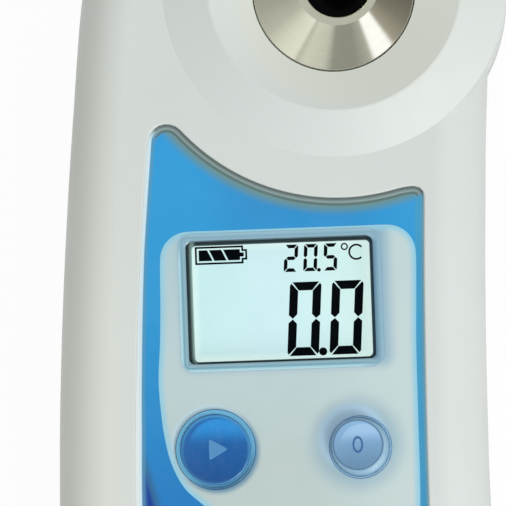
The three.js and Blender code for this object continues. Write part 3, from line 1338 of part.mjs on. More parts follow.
// Batteries and contacts
const [leftX, rightX] = BATTERY_OFFSETS.map((offset) => GRIP_MIDDLE_X + offset);
const acrossBattery = (x) => [x - PLATE_WIDTH / 2, x + PLATE_WIDTH / 2];
add('battery_1', battery(leftX, 1), batteryWrap);
add('battery_2', battery(rightX, -1), batteryWrap);
add(
  'contact_bridge',
  contactPlate([acrossBattery(leftX)[0], acrossBattery(rightX)[1]], plateLowY()),
  springMetal,
);
add('battery_terminal_1', contactPlate(acrossBattery(leftX), plateHighY()), springMetal);
add('battery_terminal_2', contactPlate(acrossBattery(rightX), plateHighY()), springMetal);
add(
  'battery_spring_1',
  contactSpring(leftX, nubTipLow(), nubTipHigh() - BATTERY_LENGTH - SEAT_GAP),
  springMetal,
);
add(
  'battery_spring_2',
  contactSpring(rightX, nubTipHigh(), nubTipLow() + BATTERY_LENGTH + SEAT_GAP),
  springMetal,
);

// Battery cover
const clipLow = COVER_BOSS_Z + SEAT_GAP;
add('battery_cover', batteryCover(), backPlastic);
add(
  'battery_cover_seal',
  coverSealRing(0, COVER_TOP_Z - COVER_SEAL_DEPTH + SEAT_GAP, COVER_TOP_Z),
  rubber,
);
add('coin_screw', coinScrew(), screwSteel);
add(
  'coin_screw_clip',
  tube(GRIP_MIDDLE_X, COIN_Y, clipLow, clipLow + CLIP_THICKNESS, COIN_NECK_RADIUS + CLIP_GAP, CLIP_RADIUS),
  springMetal,
);
add(
  'thread_insert',
  tube(
    GRIP_MIDDLE_X,
    COIN_Y,
    insertLow(),
    insertHigh(),
    COIN_SHAFT_RADIUS + FIT_GAP,
    insertOuter(),
    BUTTON_SIDES,
  ),
  brass,
);

export default group;
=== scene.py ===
import json
import math

import bmesh
import bpy
import numpy as np
from mathutils import Matrix, Vector


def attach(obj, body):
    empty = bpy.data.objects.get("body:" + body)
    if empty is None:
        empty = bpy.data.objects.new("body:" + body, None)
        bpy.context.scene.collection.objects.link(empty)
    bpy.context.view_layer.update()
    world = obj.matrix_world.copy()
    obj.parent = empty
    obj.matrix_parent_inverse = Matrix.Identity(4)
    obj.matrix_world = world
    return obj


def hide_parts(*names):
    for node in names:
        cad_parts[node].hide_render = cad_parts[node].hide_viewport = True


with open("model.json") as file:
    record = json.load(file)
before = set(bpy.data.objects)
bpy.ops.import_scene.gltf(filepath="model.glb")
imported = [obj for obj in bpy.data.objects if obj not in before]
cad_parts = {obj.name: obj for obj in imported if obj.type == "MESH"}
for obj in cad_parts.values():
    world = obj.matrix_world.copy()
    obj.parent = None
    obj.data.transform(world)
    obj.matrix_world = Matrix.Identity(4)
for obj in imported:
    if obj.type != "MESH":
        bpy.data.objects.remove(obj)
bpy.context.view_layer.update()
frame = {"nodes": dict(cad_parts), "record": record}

# A millimetre in metres and a metre in millimetres: the instrument's sizes and places are in
# millimetres, as in its solids
MM = 0.001
METRE = 1000.0

# Where the well, the buttons and the screws lie
WELL = (7.2, 34.2)
START = (-8.63, -19.8)
ZERO = (8.33, -20.1)
COIN = (-2.1, 7.0)
HOUSING_SCREWS = ((-19.6, -38.0), (16.5, -38.0), (-15.2, 26.0), (20.16, 40.24))

# The case: outline, walls and heights
HALF_WIDTH = 27.5
LEFT_TAPER, LEFT_CURVE = 4.7, 1.6
GRIP_RIGHT = 23.3
RIGHT_FLARE, RIGHT_CURVE = 2.2, 2.2
GRIP_MIDDLE = -2.1
GRIP_Y = -28.0
END_TOP_Y = -34.0
END_DEPTH = 20.5
END_CURVE = 2 / 2.6
DRUM_RADIUS = 20.3
NECK_RADIUS = DRUM_RADIUS - 2.6
HEAD_X = WELL[0] - 4.2
HEAD_HEIGHT = 19.0
RIDGE_RADIUS = 14.9
WALL = 2.2
FRONT_EDGE = 6.2
INNER_EDGE = 5.3
BACK_EDGE = 5.0
SEAM_GAP = 0.1
TOP_Z = 31.0
FACE_Z = 29.2
ROOF_Z = 26.8
PARTING_Z = 14.0

# The battery bay and its cover in the back
BAY_Y, BAY_SIZE = -22.4, (22.4, 48.4)
BAY_WALL = 1.3
COVER_Y, COVER_SIZE = -18.2, (26.4, 60.8)
COVER_CORNER = 2.5

# The sample well, whose cup leans a little from its floor to its rim
DISH_Z = 29.5
CUP_FLOOR_Z = 26.5
CUP_FLOOR_MIDDLE = (7.53, 34.58)
CUP_RIM_MIDDLE = (7.08, 33.51)
PRISM_TOP_Z = 26.1

# The label, the window and the display
RECESS_Z = 27.8
LABEL_Z = 27.9
LABEL_TOP = 28.7
LABEL_REACH = 0.3
LABEL_ARC = 25.28
LABEL_ARC_MIDDLE = (7.35, 34.15)
LABEL_LEFT_MARGIN = 9.57
LABEL_RIGHT_MARGIN = 7.5
LABEL_END_TOP_Y = -32.0
LABEL_END_DEPTH = 10.0
LABEL_POINTS = 260
WINDOW = (-0.41, -2.58)
WINDOW_SIZE = (21.94, 14.36)
WINDOW_CORNER = 0.7
WINDOW_OPENING = 0.9
DISPLAY_Z = 25.5
INK_LOW, INK_HIGH = DISPLAY_Z + 0.005, DISPLAY_Z + 0.03

# The buttons, their holes in the label and their rings
START_HOLE = 4.65
ZERO_HOLE = 3.63
START_RADIUS = 4.1
START_TOP_Z = 29.7
START_RING_Z = 29.2
ZERO_RADIUS = 3.46
ZERO_TOP_RADIUS = 3.1
ZERO_LEAN = (-0.27, 0.3)
ZERO_TOP_Z = 30.9
ZERO_RING_Z = 28.9
BUTTON_SIDES = 128


def srgb(red, green, blue):
    """A colour read as 0 to 255 on screen, as the linear values that shaders take."""
    shares = [value / 255 for value in (red, green, blue)]
    linear = [s / 12.92 if s <= 0.04045 else ((s + 0.055) / 1.055) ** 2.4 for s in shares]
    return (*linear, 1.0)


def beside(place, x, y):
    return place[0] + x, place[1] + y


# Outlines


def up_the_grip(y):
    """How far a place lies up from the grip towards the well, from 0 to 1."""
    return max(0.0, (y - GRIP_Y) / (WELL[1] - GRIP_Y))


def left_reach(y):
    return HALF_WIDTH - LEFT_TAPER * up_the_grip(y) ** LEFT_CURVE


def right_reach(y):
    return GRIP_RIGHT + RIGHT_FLARE * up_the_grip(y) ** RIGHT_CURVE


def steps(start, end, count):
    return [start + (end - start) * step / count for step in range(count)]


def points_round(centre, radius, bearings):
    return [(centre[0] + radius * math.cos(a), centre[1] + radius * math.sin(a)) for a in bearings]


def arc_points(centre, radius, start, end, count):
    return points_round(centre, radius, [start + (end - start) * step / count for step in range(count + 1)])


def circle(centre, radius, count=96):
    return arc_points(centre, radius, 0, 2 * math.pi * (1 - 1 / count), count - 1)


def end_points(left, right, top, depth, count):
    """The rounded lower end of an outline, from its left side to its right side."""
    points = []
    for step in range(count + 1):
        angle = math.pi * (1 + step / count)
        across = math.cos(angle)
        down = max(0.0, -math.sin(angle))
        x = (left + right) / 2 + (right - left) / 2 * math.copysign(abs(across) ** END_CURVE, across)
        points.append((x, top - depth * down**END_CURVE))
    return points


def even_loop(points, count):
    """The same closed line with evenly spaced points."""
    points = np.array([*points, points[0]], float)
    lengths = np.concatenate([[0], np.cumsum(np.linalg.norm(np.diff(points, axis=0), axis=1))])
    places = np.linspace(0, lengths[-1], count, endpoint=False)
    x, y = (np.interp(places, lengths, points[:, axis]) for axis in (0, 1))
    return list(zip(x.tolist(), y.tolist()))


def smooth_loop(controls, count):
    """A closed curve through the control points, as evenly spaced points."""
    controls = [np.array(point, float) for point in controls]
    total = len(controls)
    dense = []
    for index in range(total):
        p0, p1, p2, p3 = (controls[(index + shift) % total] for shift in (-1, 0, 1, 2))
        spans = ((p0, p1), (p1, p2), (p2, p3))
        d0, d1, d2 = (max(np.linalg.norm(b - a) ** 0.5, 1e-4) for a, b in spans)
        t1 = ((p1 - p0) / d0 - (p2 - p0) / (d0 + d1) + (p2 - p1) / d1) * d1
        t2 = ((p2 - p1) / d1 - (p3 - p1) / (d1 + d2) + (p3 - p2) / d2) * d1
        for t in steps(0, 1, 40):
            bend = (-3 * p1 + 3 * p2 - 2 * t1 - t2) * t**2 + (2 * p1 - 2 * p2 + t1 + t2) * t**3
            dense.append(p1 + t1 * t + bend)
    return even_loop(dense, count)


def outward(points):
    """The unit normals that point out of a loop."""
    array = np.array(points)
    tangent = np.roll(array, -1, axis=0) - np.roll(array, 1, axis=0)
    tangent /= np.linalg.norm(tangent, axis=1)[:, None]
    normals = np.stack([tangent[:, 1], -tangent[:, 0]], axis=1)
    x, y = array.T
    area = np.sum(x * np.roll(y, -1) - np.roll(x, -1) * y)
    return normals if area > 0 else -normals


def grown(points, distance):
    return [tuple(point) for point in np.array(points) + outward(points) * distance]


def body_loop(count=220):
    reach = HEAD_X + left_reach(WELL[1])
    controls = [(-left_reach(y), y) for y in steps(WELL[1], END_TOP_Y, 5)]
    controls += end_points(-HALF_WIDTH, GRIP_RIGHT, END_TOP_Y, END_DEPTH, 10)
    controls += [(right_reach(y), y) for y in steps(END_TOP_Y, WELL[1] - NECK_RADIUS / 2, 5)][1:]
    controls += arc_points(WELL, NECK_RADIUS, 0, 4 * math.pi / 9, 3)
    for step in range(4):
        angle = math.pi / 2 * (1 + (step + 1) / 5)
        controls.append((HEAD_X + reach * math.cos(angle), WELL[1] + HEAD_HEIGHT * math.sin(angle)))
    return smooth_loop(controls, count)


def label_loop(grow):
    radius = LABEL_ARC - grow
    arc_x, arc_y = LABEL_ARC_MIDDLE

    def left(y):
        tuck = 0.12 * min(1.0, max(0.0, (y - 2) / 12))
        return LABEL_LEFT_MARGIN - left_reach(y) - grow + tuck

    def right(y):
        return right_reach(y) - LABEL_RIGHT_MARGIN + grow

    def corner(x, rounding):
        """The centre of a circle that meets the head's arc, and the bearing where it does."""
        y = arc_y - math.sqrt((radius + rounding) ** 2 - (arc_x - x) ** 2)
        return (x, y), math.atan2(arc_y - y, arc_x - x)

    left_round, right_round, right_bend = 1.9 + grow, 0.85 + grow, 8.0 + grow
    left_side, right_side = left(WELL[1] - LABEL_ARC / math.sqrt(2)), right(WELL[1] - LABEL_ARC)
    top_left, left_angle = corner(left_side + left_round, left_round)
    bend, right_angle = corner(right_side - right_round, right_bend)
    top_right = beside(bend, 0.0, right_bend - right_round)
    sides = left(LABEL_END_TOP_Y), right(LABEL_END_TOP_Y)
    points = arc_points(top_left, left_round, math.pi, left_angle, 14)
    points += arc_points(LABEL_ARC_MIDDLE, radius, left_angle + math.pi, right_angle + math.pi, 90)[1:-1]
    points += arc_points(bend, right_bend, right_angle, math.pi / 2, 8)[:-1]
    points += arc_points(top_right, right_round, math.pi / 2, 0, 12)
    points += [(right(y), y) for y in steps(top_right[1], LABEL_END_TOP_Y, 24)][1:]
    points += end_points(*sides, LABEL_END_TOP_Y, LABEL_END_DEPTH + grow, 40)[::-1]
    points += [(left(y), y) for y in steps(LABEL_END_TOP_Y, top_left[1], 30)][1:]
    return even_loop(points, LABEL_POINTS)[::-1]


def rounded_rectangle(centre, size, radius, corner_steps=8):
    points = []
    for index, (across, up) in enumerate(((1, 1), (-1, 1), (-1, -1), (1, -1))):
        middle = beside(centre, across * (size[0] / 2 - radius), up * (size[1] / 2 - radius))
        points += arc_points(middle, radius, index * math.pi / 2, (index + 1) * math.pi / 2, corner_steps)
    return points


def window_loop(grow):
    size = beside(WINDOW_SIZE, 2 * grow, 2 * grow)
    return rounded_rectangle(WINDOW, size, max(WINDOW_CORNER + grow, 0.3))


def cover_loop(grow=0.0):
    size = beside(COVER_SIZE, 2 * grow, 2 * grow)
    return rounded_rectangle((GRIP_MIDDLE, COVER_Y), size, COVER_CORNER + grow)


def bay_loop(grow=0.0):
    size = beside(BAY_SIZE, 2 * grow, 2 * grow)
    return rounded_rectangle((GRIP_MIDDLE, BAY_Y), size, 1.0)


# Meshes


def at(loop, z):
    """A flat loop lifted to a height."""
    return [(x, y, z) for x, y in loop]


def stack(outline, levels):
    """Rings of an outline that grows, from (grow, height) levels."""
    return [at(outline(grow), z) for grow, z in levels]


def leaning(low_middle, high_middle, low, high):
    """The middle of a turned shape by height, which moves from one place to another."""

    def middle(z):
        share = min(1.0, max(0.0, (z - low) / (high - low)))
        return [start + (end - start) * share for start, end in zip(low_middle, high_middle)]

    return middle


def span(mesh, low, high):
    """Faces between two rings of vertices, of which one may be a single vertex on the axis."""
    count = max(len(low), len(high))
    for index in range(count):
        after = (index + 1) % count
        if len(low) == 1:
            mesh.faces.new((low[0], high[after], high[index]))
        elif len(high) == 1:
            mesh.faces.new((low[index], low[after], high[0]))
        else:
            mesh.faces.new((low[index], low[after], high[after], high[index]))


def skin(mesh, rings, closed=False, caps=True):
    """Faces between rings of equal length, with a flat cap on each end or closed on themselves."""
    made = [[mesh.verts.new(Vector(point) * MM) for point in ring] for ring in rings]
    for low, high in zip(made, made[1:]):
        span(mesh, low, high)
    if closed:
        span(mesh, made[-1], made[0])
    elif caps:
        mesh.faces.new(made[0][::-1])
        mesh.faces.new(made[-1])
    return made


def fill(mesh, loops):
    """One flat face region between an outer loop of vertices and the loops of its holes."""
    edges = []
    for loop in loops:
        for index, vertex in enumerate(loop):
            edges.append(mesh.edges.get((vertex, loop[(index + 1) % len(loop)])))
    bmesh.ops.triangle_fill(mesh, edges=edges, use_beauty=True, use_dissolve=False)


def placed(name, data):
    """A new object in the scene."""
    made = bpy.data.objects.new(name, data)
    bpy.context.scene.collection.objects.link(made)
    return made


def shape(name, build):
    """A new object whose mesh a function fills in."""
    mesh = bmesh.new()
    build(mesh)
    bmesh.ops.recalc_face_normals(mesh, faces=mesh.faces)
    data = bpy.data.meshes.new(name)
    mesh.to_mesh(data)
    mesh.free()
    return placed(name, data)


def skinned(name, rings, closed=False):
    return shape(name, lambda mesh: skin(mesh, rings, closed))


def turned(name, centre, profile, count=160, lean=None):
    """A turned shape from (radius, height) points; a radius of 0 closes it on its axis.

    A lean gives the middle of each ring by its height.
    """

    def build(mesh):
        rings = []
        for radius, z in profile:
            middle = lean(z) if lean else centre
            loop = circle(middle, radius, count) if radius else [middle]
            rings.append([mesh.verts.new(Vector(point) * MM) for point in at(loop, z)])
        for low, high in zip(rings, rings[1:]):
            span(mesh, low, high)
        if profile[0][0]:
            span(mesh, rings[-1], rings[0])

    return shape(name, build)


def plate(name, outer, holes):
    """A plate from the rings of its outer wall and of each hole's wall, bottom ring first."""

    def build(mesh):
        walls = [skin(mesh, rings, caps=False) for rings in (outer, *holes)]
        fill(mesh, [wall[0] for wall in walls])
        fill(mesh, [wall[-1] for wall in walls])

    return shape(name, build)


def rod(name, centre, low, high, radius):
    return turned(name, centre, [(0, low), (radius, low), (radius, high), (0, high)], 64)


def slab(name, loop, low, high):
    return skinned(name, [at(loop, low), at(loop, high)])


def combine(target, others, operation):
    """Adds other shapes to a piece or cuts them out of it one by one, and removes them."""
    for other in others:
        modifier = target.modifiers.new(operation, "BOOLEAN")
        modifier.operation = operation
        modifier.solver = "MANIFOLD"
        modifier.object = other
        bpy.context.view_layer.update()
        graph = bpy.context.evaluated_depsgraph_get()
        data = bpy.data.meshes.new_from_object(target.evaluated_get(graph))
        target.modifiers.clear()
        target.data = data
        bpy.data.objects.remove(other)


def settle(piece, body, material, replaced=(), crease=28):
    """Smooth shading with crisp edges, a material, and the place of the piece in the assembly."""
    piece.data.shade_smooth()
    piece.data.set_sharp_from_angle(angle=math.radians(crease))
    weighted = piece.modifiers.new("even shading", "WEIGHTED_NORMAL")
    weighted.keep_sharp = True
    piece.data.materials.clear()
    piece.data.materials.append(material)
    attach(piece, body)
    if replaced:
        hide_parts(*replaced)


def mark(piece, name, numbers, rest=0.0):
    """A named value for the material to read: numbers on the first points, then the rest."""
    values = np.full(len(piece.data.vertices), rest, np.float32)
    values[: len(numbers)] = numbers
    attribute = piece.data.attributes.new(name, "FLOAT", "POINT")
    attribute.data.foreach_set("value", values)


# Materials


def add(tree, kind, **values):
    made = tree.nodes.new(kind)
    for name, value in values.items():
        setattr(made, name, value)
    return made


def feed(tree, sockets, values):
    """Links each socket to another, or sets its number, vector or colour."""
    for socket, value in zip(sockets, values):
        if isinstance(value, bpy.types.NodeSocket):
            tree.links.new(value, socket)
        else:
            socket.default_value = value


def calc(tree, operation, *values):
    made = add(tree, "ShaderNodeMath", operation=operation)
    feed(tree, made.inputs, values)
    return made.outputs[0]


def product(tree, first, *others):
    for other in others:
        first = calc(tree, "MULTIPLY", first, other)
    return first


def vector_calc(tree, operation, *values):
    made = add(tree, "ShaderNodeVectorMath", operation=operation)
    feed(tree, made.inputs, values)
    return made.outputs["Value" if operation == "LENGTH" else "Vector"]


def blend(tree, share, first, second, mode="MIX"):
    """A colour between two, where each may be a colour or a socket."""
    made = add(tree, "ShaderNodeMix", data_type="RGBA", blend_type=mode)
    feed(tree, (made.inputs[0], made.inputs[6], made.inputs[7]), (share, first, second))
    return made.outputs[2]


def ramp(tree, value, stops):
    """A colour ramp over 0 to 1, from (place, colour) stops."""
    made = add(tree, "ShaderNodeValToRGB")
    points = made.color_ramp.elements
    while len(points) < len(stops):
        points.new(0.5)
    for point, (place, colour) in zip(points, stops):
        point.position = place
        point.color = colour
    tree.links.new(value, made.inputs[0])
    return made.outputs[0]


def ease(tree, value, low, high, start=0.0, end=1.0, kind="SMOOTHSTEP"):
    """A value that goes smoothly from start to end as the input goes from low to high."""
    made = add(tree, "ShaderNodeMapRange", interpolation_type=kind)
    feed(tree, made.inputs, (value, low, high, start, end))
    return made.outputs[0]


def share_of(tree, value, low, high):
    """How far a value lies between two others, from 0 to 1."""
    return ease(tree, value, low, high, kind="LINEAR")


def place_in(tree):
    return add(tree, "ShaderNodeTexCoord").outputs["Object"]


def xyz(tree):
    """Where a point of the surface lies, as three sockets in millimetres."""
    parts = add(tree, "ShaderNodeSeparateXYZ")
    tree.links.new(vector_calc(tree, "MULTIPLY", place_in(tree), (METRE,) * 3), parts.inputs[0])
    return tuple(parts.outputs)


def value_of(tree, name):
    return add(tree, "ShaderNodeAttribute", attribute_name=name).outputs["Fac"]


def noise(tree, vector, scale, detail, roughness):
    made = add(tree, "ShaderNodeTexNoise")
    sockets = [made.inputs[label] for label in ("Vector", "Scale", "Detail", "Roughness")]
    feed(tree, sockets, (vector, scale, detail, roughness))
    return made.outputs["Fac"]


def new_group(name, inputs, outputs):
    """An empty shader node group with inputs (name, default) and named outputs."""
    group = bpy.data.node_groups.new(name, "ShaderNodeTree")
    for label, default in inputs:
        kind = "NodeSocketVector" if isinstance(default, tuple) else "NodeSocketFloat"
        socket = group.interface.new_socket(name=label, in_out="INPUT", socket_type=kind)
        socket.default_value = default
    for label in outputs:
        group.interface.new_socket(name=label, in_out="OUTPUT", socket_type="NodeSocketFloat")
    return group, group.nodes.new("NodeGroupInput").outputs, group.nodes.new("NodeGroupOutput").inputs


def moulded_grain():
    """Fine grain of moulded plastic and rubber: a height, and slow changes of tone and gloss."""
    group, given, out = new_group(
        "moulded grain",
        [("Grain Size", 0.3), ("Patch Size", 14.0)],
        ["Height", "Tone", "Gloss Change"],
    )
    place = place_in(group)
    grain_scale = calc(group, "DIVIDE", METRE, given["Grain Size"])
    patch_scale = calc(group, "DIVIDE", METRE, given["Patch Size"])
    group.links.new(noise(group, place, grain_scale, 4.0, 0.6), out["Height"])
    group.links.new(noise(group, place, patch_scale, 2.0, 0.45), out["Tone"])
    smears = noise(group, place, product(group, patch_scale, 2.7), 5.0, 0.65)
    group.links.new(ease(group, smears, 0.35, 0.75), out["Gloss Change"])
    return group


def turned_lines():
    """Fine rings that a cutting tool leaves about an upright axis."""
    group, given, out = new_group(
        "turned lines",
        [("Axis", (0.0, 0.0, 0.0)), ("Ring Width", 0.1)],
        ["Height", "Tone"],
    )
    offset = vector_calc(group, "SUBTRACT", place_in(group), given["Axis"])
    radius = vector_calc(group, "LENGTH", vector_calc(group, "MULTIPLY", offset, (1.0, 1.0, 0.0)))
    rings = calc(group, "DIVIDE", product(group, radius, METRE), given["Ring Width"])
    for label, scale, detail in (("Height", 1.0, 3.0), ("Tone", 0.11, 2.0)):
        lines = add(group, "ShaderNodeTexNoise", noise_dimensions="1D")
        feed(group, [lines.inputs[name] for name in ("W", "Scale", "Detail")], (rings, scale, detail))
        group.links.new(lines.outputs["Fac"], out[label])
    return group


def panel_distance():
    """How far a point lies outside an upright rounded box, in millimetres."""
    group, given, out = new_group(
        "panel distance",
        [("Middle", (0.0, 0.0, 0.0)), ("Half Size", (1.0, 1.0, 1.0))],
        ["Distance"],
    )
    offset = vector_calc(group, "SUBTRACT", place_in(group), given["Middle"])
    over = vector_calc(group, "SUBTRACT", vector_calc(group, "ABSOLUTE", offset), given["Half Size"])
    length = vector_calc(group, "LENGTH", vector_calc(group, "MAXIMUM", over, (0.0, 0.0, 0.0)))
    group.links.new(product(group, length, METRE), out["Distance"])
    return group


GRAIN = moulded_grain()
RINGS = turned_lines()
DISTANCE = panel_distance()


def use(tree, group, **values):
    """The outputs of a group placed in a material, with its inputs set."""
    made = add(tree, "ShaderNodeGroup", node_tree=group)
    for name, value in values.items():
        made.inputs[name.replace("_", " ")].default_value = value
    return made.outputs


def away_from(tree, middle, size=(0.0, 0.0)):
    """How far a point of the front lies outside a rectangle, or from a place, in millimetres."""
    spot = (middle[0] * MM, middle[1] * MM, 0.03)
    half = (size[0] / 2 * MM, size[1] / 2 * MM, 0.02)
    return use(tree, DISTANCE, Middle=spot, Half_Size=half)["Distance"]


def tint_near(tree, under, tint, middle, near, far, share, size=(0.0, 0.0)):
    """A colour with another laid over it about a place, which fades between two distances."""
    fade = ease(tree, away_from(tree, middle, size), near, far, share, 0.0)
    return blend(tree, fade, under, tint)


def finish_of(name, **sockets):
    """A material with its main shader's own sockets set."""
    material = bpy.data.materials.new(name)
    material.use_nodes = True
    tree = material.node_tree
    shader = tree.nodes["Principled BSDF"]
    for label, value in sockets.items():
        shader.inputs[label.replace("_", " ")].default_value = value
    return material, tree, shader.inputs


def relief(tree, shader, height, depth, distance=0.0001):
    bump = add(tree, "ShaderNodeBump")
    feed(tree, [bump.inputs[name] for name in ("Strength", "Distance", "Height")], (depth, distance, height))
    tree.links.new(bump.outputs["Normal"], shader["Normal"])


def grained(tree, shader, colour, other, drift, gloss, grain, patch, depth):
    """Grain on a surface whose colour drifts towards another and whose roughness has a range."""
    marks = use(tree, GRAIN, Grain_Size=grain, Patch_Size=patch)
    mixed = blend(tree, ease(tree, marks["Tone"], 0.3, 0.7, 0.0, drift), colour, other)
    tree.links.new(mixed, shader["Base Color"])
    tree.links.new(ease(tree, marks["Gloss Change"], 0.0, 1.0, *gloss), shader["Roughness"])
    relief(tree, shader, marks["Height"], depth)
    return mixed, marks


def darkened(colour, share):
    return (*(value * (1 - share) for value in colour[:3]), 1.0)


def plastic(name, colour, roughness, grain, depth, tone, patch, **sockets):
    """Moulded plastic, rubber or paint: grain in the surface and slow changes of tone and gloss."""
    material, tree, shader = finish_of(name, **sockets)
    gloss = (roughness * 0.88, roughness * 1.15)
    darker = darkened(colour, 2 * tone)
    grained(tree, shader, darker, colour, 1.0, gloss, grain=grain, patch=patch, depth=depth)
    return material


def metal(name, colour, roughness, axis, ring, depth, tone):
    """Turned metal with the fine rings of the cutting tool about its axis."""
    material, tree, shader = finish_of(name, Metallic=1.0)
    lines = use(tree, RINGS, Axis=(axis[0] * MM, axis[1] * MM, 0.0), Ring_Width=ring)
    drift = ease(tree, lines["Tone"], 0.35, 0.65)
    tree.links.new(blend(tree, drift, darkened(colour, tone), colour), shader["Base Color"])
    gloss = ease(tree, lines["Height"], 0.3, 0.7, roughness * 0.8, roughness * 1.25)
    tree.links.new(gloss, shader["Roughness"])
    relief(tree, shader, lines["Height"], depth, 0.00002)
    return material


def tinted(material, tint):
    """A material whose colour a function changes."""
    tree = material.node_tree
    socket = tree.nodes["Principled BSDF"].inputs["Base Color"]
    tree.links.new(tint(tree, socket.links[0].from_socket), socket)
    return material


def shell_plastic():
    """Pale shell, a little warmer to the left and in the dish beside the well."""

    def tint(tree, pale):
        x, _, _ = xyz(tree)
        pale = blend(tree, ease(tree, x, -27, -12, 0.8, 0.0), pale, srgb(221, 226, 216))
        return tint_near(tree, pale, srgb(219, 223, 211), beside(WELL, 1.5, -1), 11.5, 14.5, 0.8)

    return tinted(plastic("shell plastic", srgb(219, 225, 222), 0.45, 0.35, 0.06, 0.012, 26.0), tint)


def gasket_plastic():
    """Dark gasket of the window, with painted light along its left wall, which faces the lamp, and bluish to
    the right.
    """
    left = WINDOW[0] - WINDOW_SIZE[0] / 2

    def tint(tree, dark):
        x, _, _ = xyz(tree)
        # Painted light: a lighter band on the left wall of the opening, where the lamp falls.
        rise = ease(tree, x, left + 0.2, left + 0.62)
        fall = ease(tree, x, left + 0.7, left + 1.2, 1.0, 0.0)
        dark = blend(tree, product(tree, rise, fall), dark, srgb(134, 164, 156))
        return blend(tree, ease(tree, x, 9.6, 10.4), dark, srgb(44, 82, 100))

    return tinted(plastic("gasket plastic", srgb(30, 54, 58), 0.42, 0.3, 0.15, 0.06, 8.0), tint)


def deep_corner(tree, x, y, blue):
    """A deeper blue with a smoky border that widens down the label's lower left side."""
    border = calc(tree, "MULTIPLY_ADD", share_of(tree, y, -19.4, -43.0), 6.2, -17.85)
    inside = calc(tree, "SUBTRACT", border, x)
    smoky = blend(tree, ease(tree, inside, -1.3, -0.1, 0.0, 0.75), blue, srgb(48, 100, 142))
    return blend(tree, ease(tree, inside, -0.35, 0.35), smoky, srgb(4, 58, 160))


def label_print_and_painted_edge():
    """Blue print under the clear face, with painted shade and painted highlights along its thick edge."""
    material, tree, shader = finish_of("label blue", Coat_Weight=0.7, Coat_Roughness=0.05)
    x, y, _ = xyz(tree)
    blues = [
        (0.0, srgb(16, 118, 194)),
        (0.24, srgb(24, 131, 205)),
        (0.38, srgb(30, 146, 214)),
        (0.54, srgb(42, 162, 224)),
        (0.82, srgb(44, 164, 230)),
    ]
    colour = ramp(tree, share_of(tree, y, -42, 30), blues)
    colour = tint_near(tree, colour, srgb(34, 140, 208), (2.0, 10.0), 0.0, 9.0, 0.6, (8.0, 2.0))
    colour = deep_corner(tree, x, y, colour)
    edge = LABEL_ARC - LABEL_REACH
    # Painted shade: a grey fade under the head's arc, where the thick clear edge shades the print.
    colour = tint_near(tree, colour, srgb(109, 152, 154), LABEL_ARC_MIDDLE, edge + 0.85, edge + 2.3, 1.0)
    rim = value_of(tree, "rim")
    sides = {side: value_of(tree, side) for side in ("arc", "left", "right")}
    clear_rim = calc(tree, "SUBTRACT", rim, product(tree, share_of(tree, y, 4, -18), 0.34))
    # Painted shade and painted highlights along the edge: dark lines and a paler band under the arc, a
    # bright line on the left edge and a pale line on the right edge, where the clear edge and the recess
    # beside it catch the light or lie in shade.
    lines = (
        ("arc", rim, 0.6, 0.94, 0.1, 1.0, srgb(90, 120, 119)),
        ("arc", rim, 0.34, 0.6, 0.08, 1.0, srgb(140, 159, 157)),
        ("arc", rim, -0.2, 0.34, 0.08, 1.0, srgb(114, 128, 126)),
        ("left", clear_rim, 0.36, 0.8, 0.14, 0.75, srgb(92, 158, 190)),
        ("left", clear_rim, -0.1, 0.4, 0.07, 1.0, srgb(216, 240, 250)),
        ("left", clear_rim, -2.0, 0.06, 0.1, 1.0, srgb(236, 242, 243)),
        ("right", rim, 0.3, 1.0, 0.14, 0.75, srgb(70, 166, 204)),
        ("right", rim, 0.08, 0.32, 0.1, 1.0, srgb(104, 174, 204)),
        ("right", rim, -0.2, 0.1, 0.08, 1.0, srgb(196, 244, 252)),
    )
    for side, place, low, high, soft, strength, tint in lines:
        start = ease(tree, place, low - soft, low + soft)
        end = ease(tree, place, high - soft, high + soft, 1.0, 0.0)
        colour = blend(tree, product(tree, start, end, sides[side], strength), colour, tint)
    deeper = srgb(20, 90, 170)
    grained(tree, shader, colour, deeper, 0.05, (0.3, 0.42), grain=0.5, patch=22.0, depth=0.02)
    return material


def field_print_and_painted_shade():
    """Pale print round the display and the buttons, bluish near the window, with painted shadows and painted
    light round the buttons.
    """
    material, tree, shader = finish_of("pale field", Coat_Weight=1.0, Coat_Roughness=0.05)
    x, y, _ = xyz(tree)
    pales = [
        (0.0, srgb(194, 214, 212)),
        (0.3, srgb(198, 214, 212)),
        (0.62, srgb(198, 219, 222)),
        (1.0, srgb(182, 212, 220)),
    ]
    pale = ramp(tree, share_of(tree, y, -34, 6), pales)
    pale = blend(tree, ease(tree, x, -1.5, 15, 0.0, 0.75), pale, srgb(210, 228, 228))
    pale = tint_near(tree, pale, srgb(136, 180, 206), beside(WINDOW, 0.6, 0.4), 0.0, 2.3, 0.85, WINDOW_SIZE)
    # Painted shadows round the buttons, reaching further to the upper left of the small one and to the lower
    # right of the large one, and painted light to the upper left of both, which lifts the shadow that the
    # lamp casts there.
    painted_shade_and_light = (
        (beside(ZERO, -0.4, 0.4), 3.9, 6.6, 0.75, srgb(160, 192, 206)),
        (beside(ZERO, -0.9, 1.2), 3.3, 4.5, 0.85, srgb(188, 224, 248)),
        (beside(START, 0.2, -0.2), 4.5, 5.3, 0.9, srgb(104, 154, 182)),
        (beside(START, -0.4, 0.4), 4.5, 5.15, 0.9, srgb(202, 232, 244)),
    )
    for middle, near, far, share, tint in painted_shade_and_light:
        pale = tint_near(tree, pale, tint, middle, near, far, share)
    border = ease(tree, value_of(tree, "rim"), 0.0, 1.0, 1.0, 0.0)
    pale = blend(tree, border, pale, srgb(150, 214, 238))
    bluish = srgb(170, 200, 210)
    grained(tree, shader, pale, bluish, 0.06, (0.35, 0.5), grain=0.5, patch=9.0, depth=0.02)
    return material


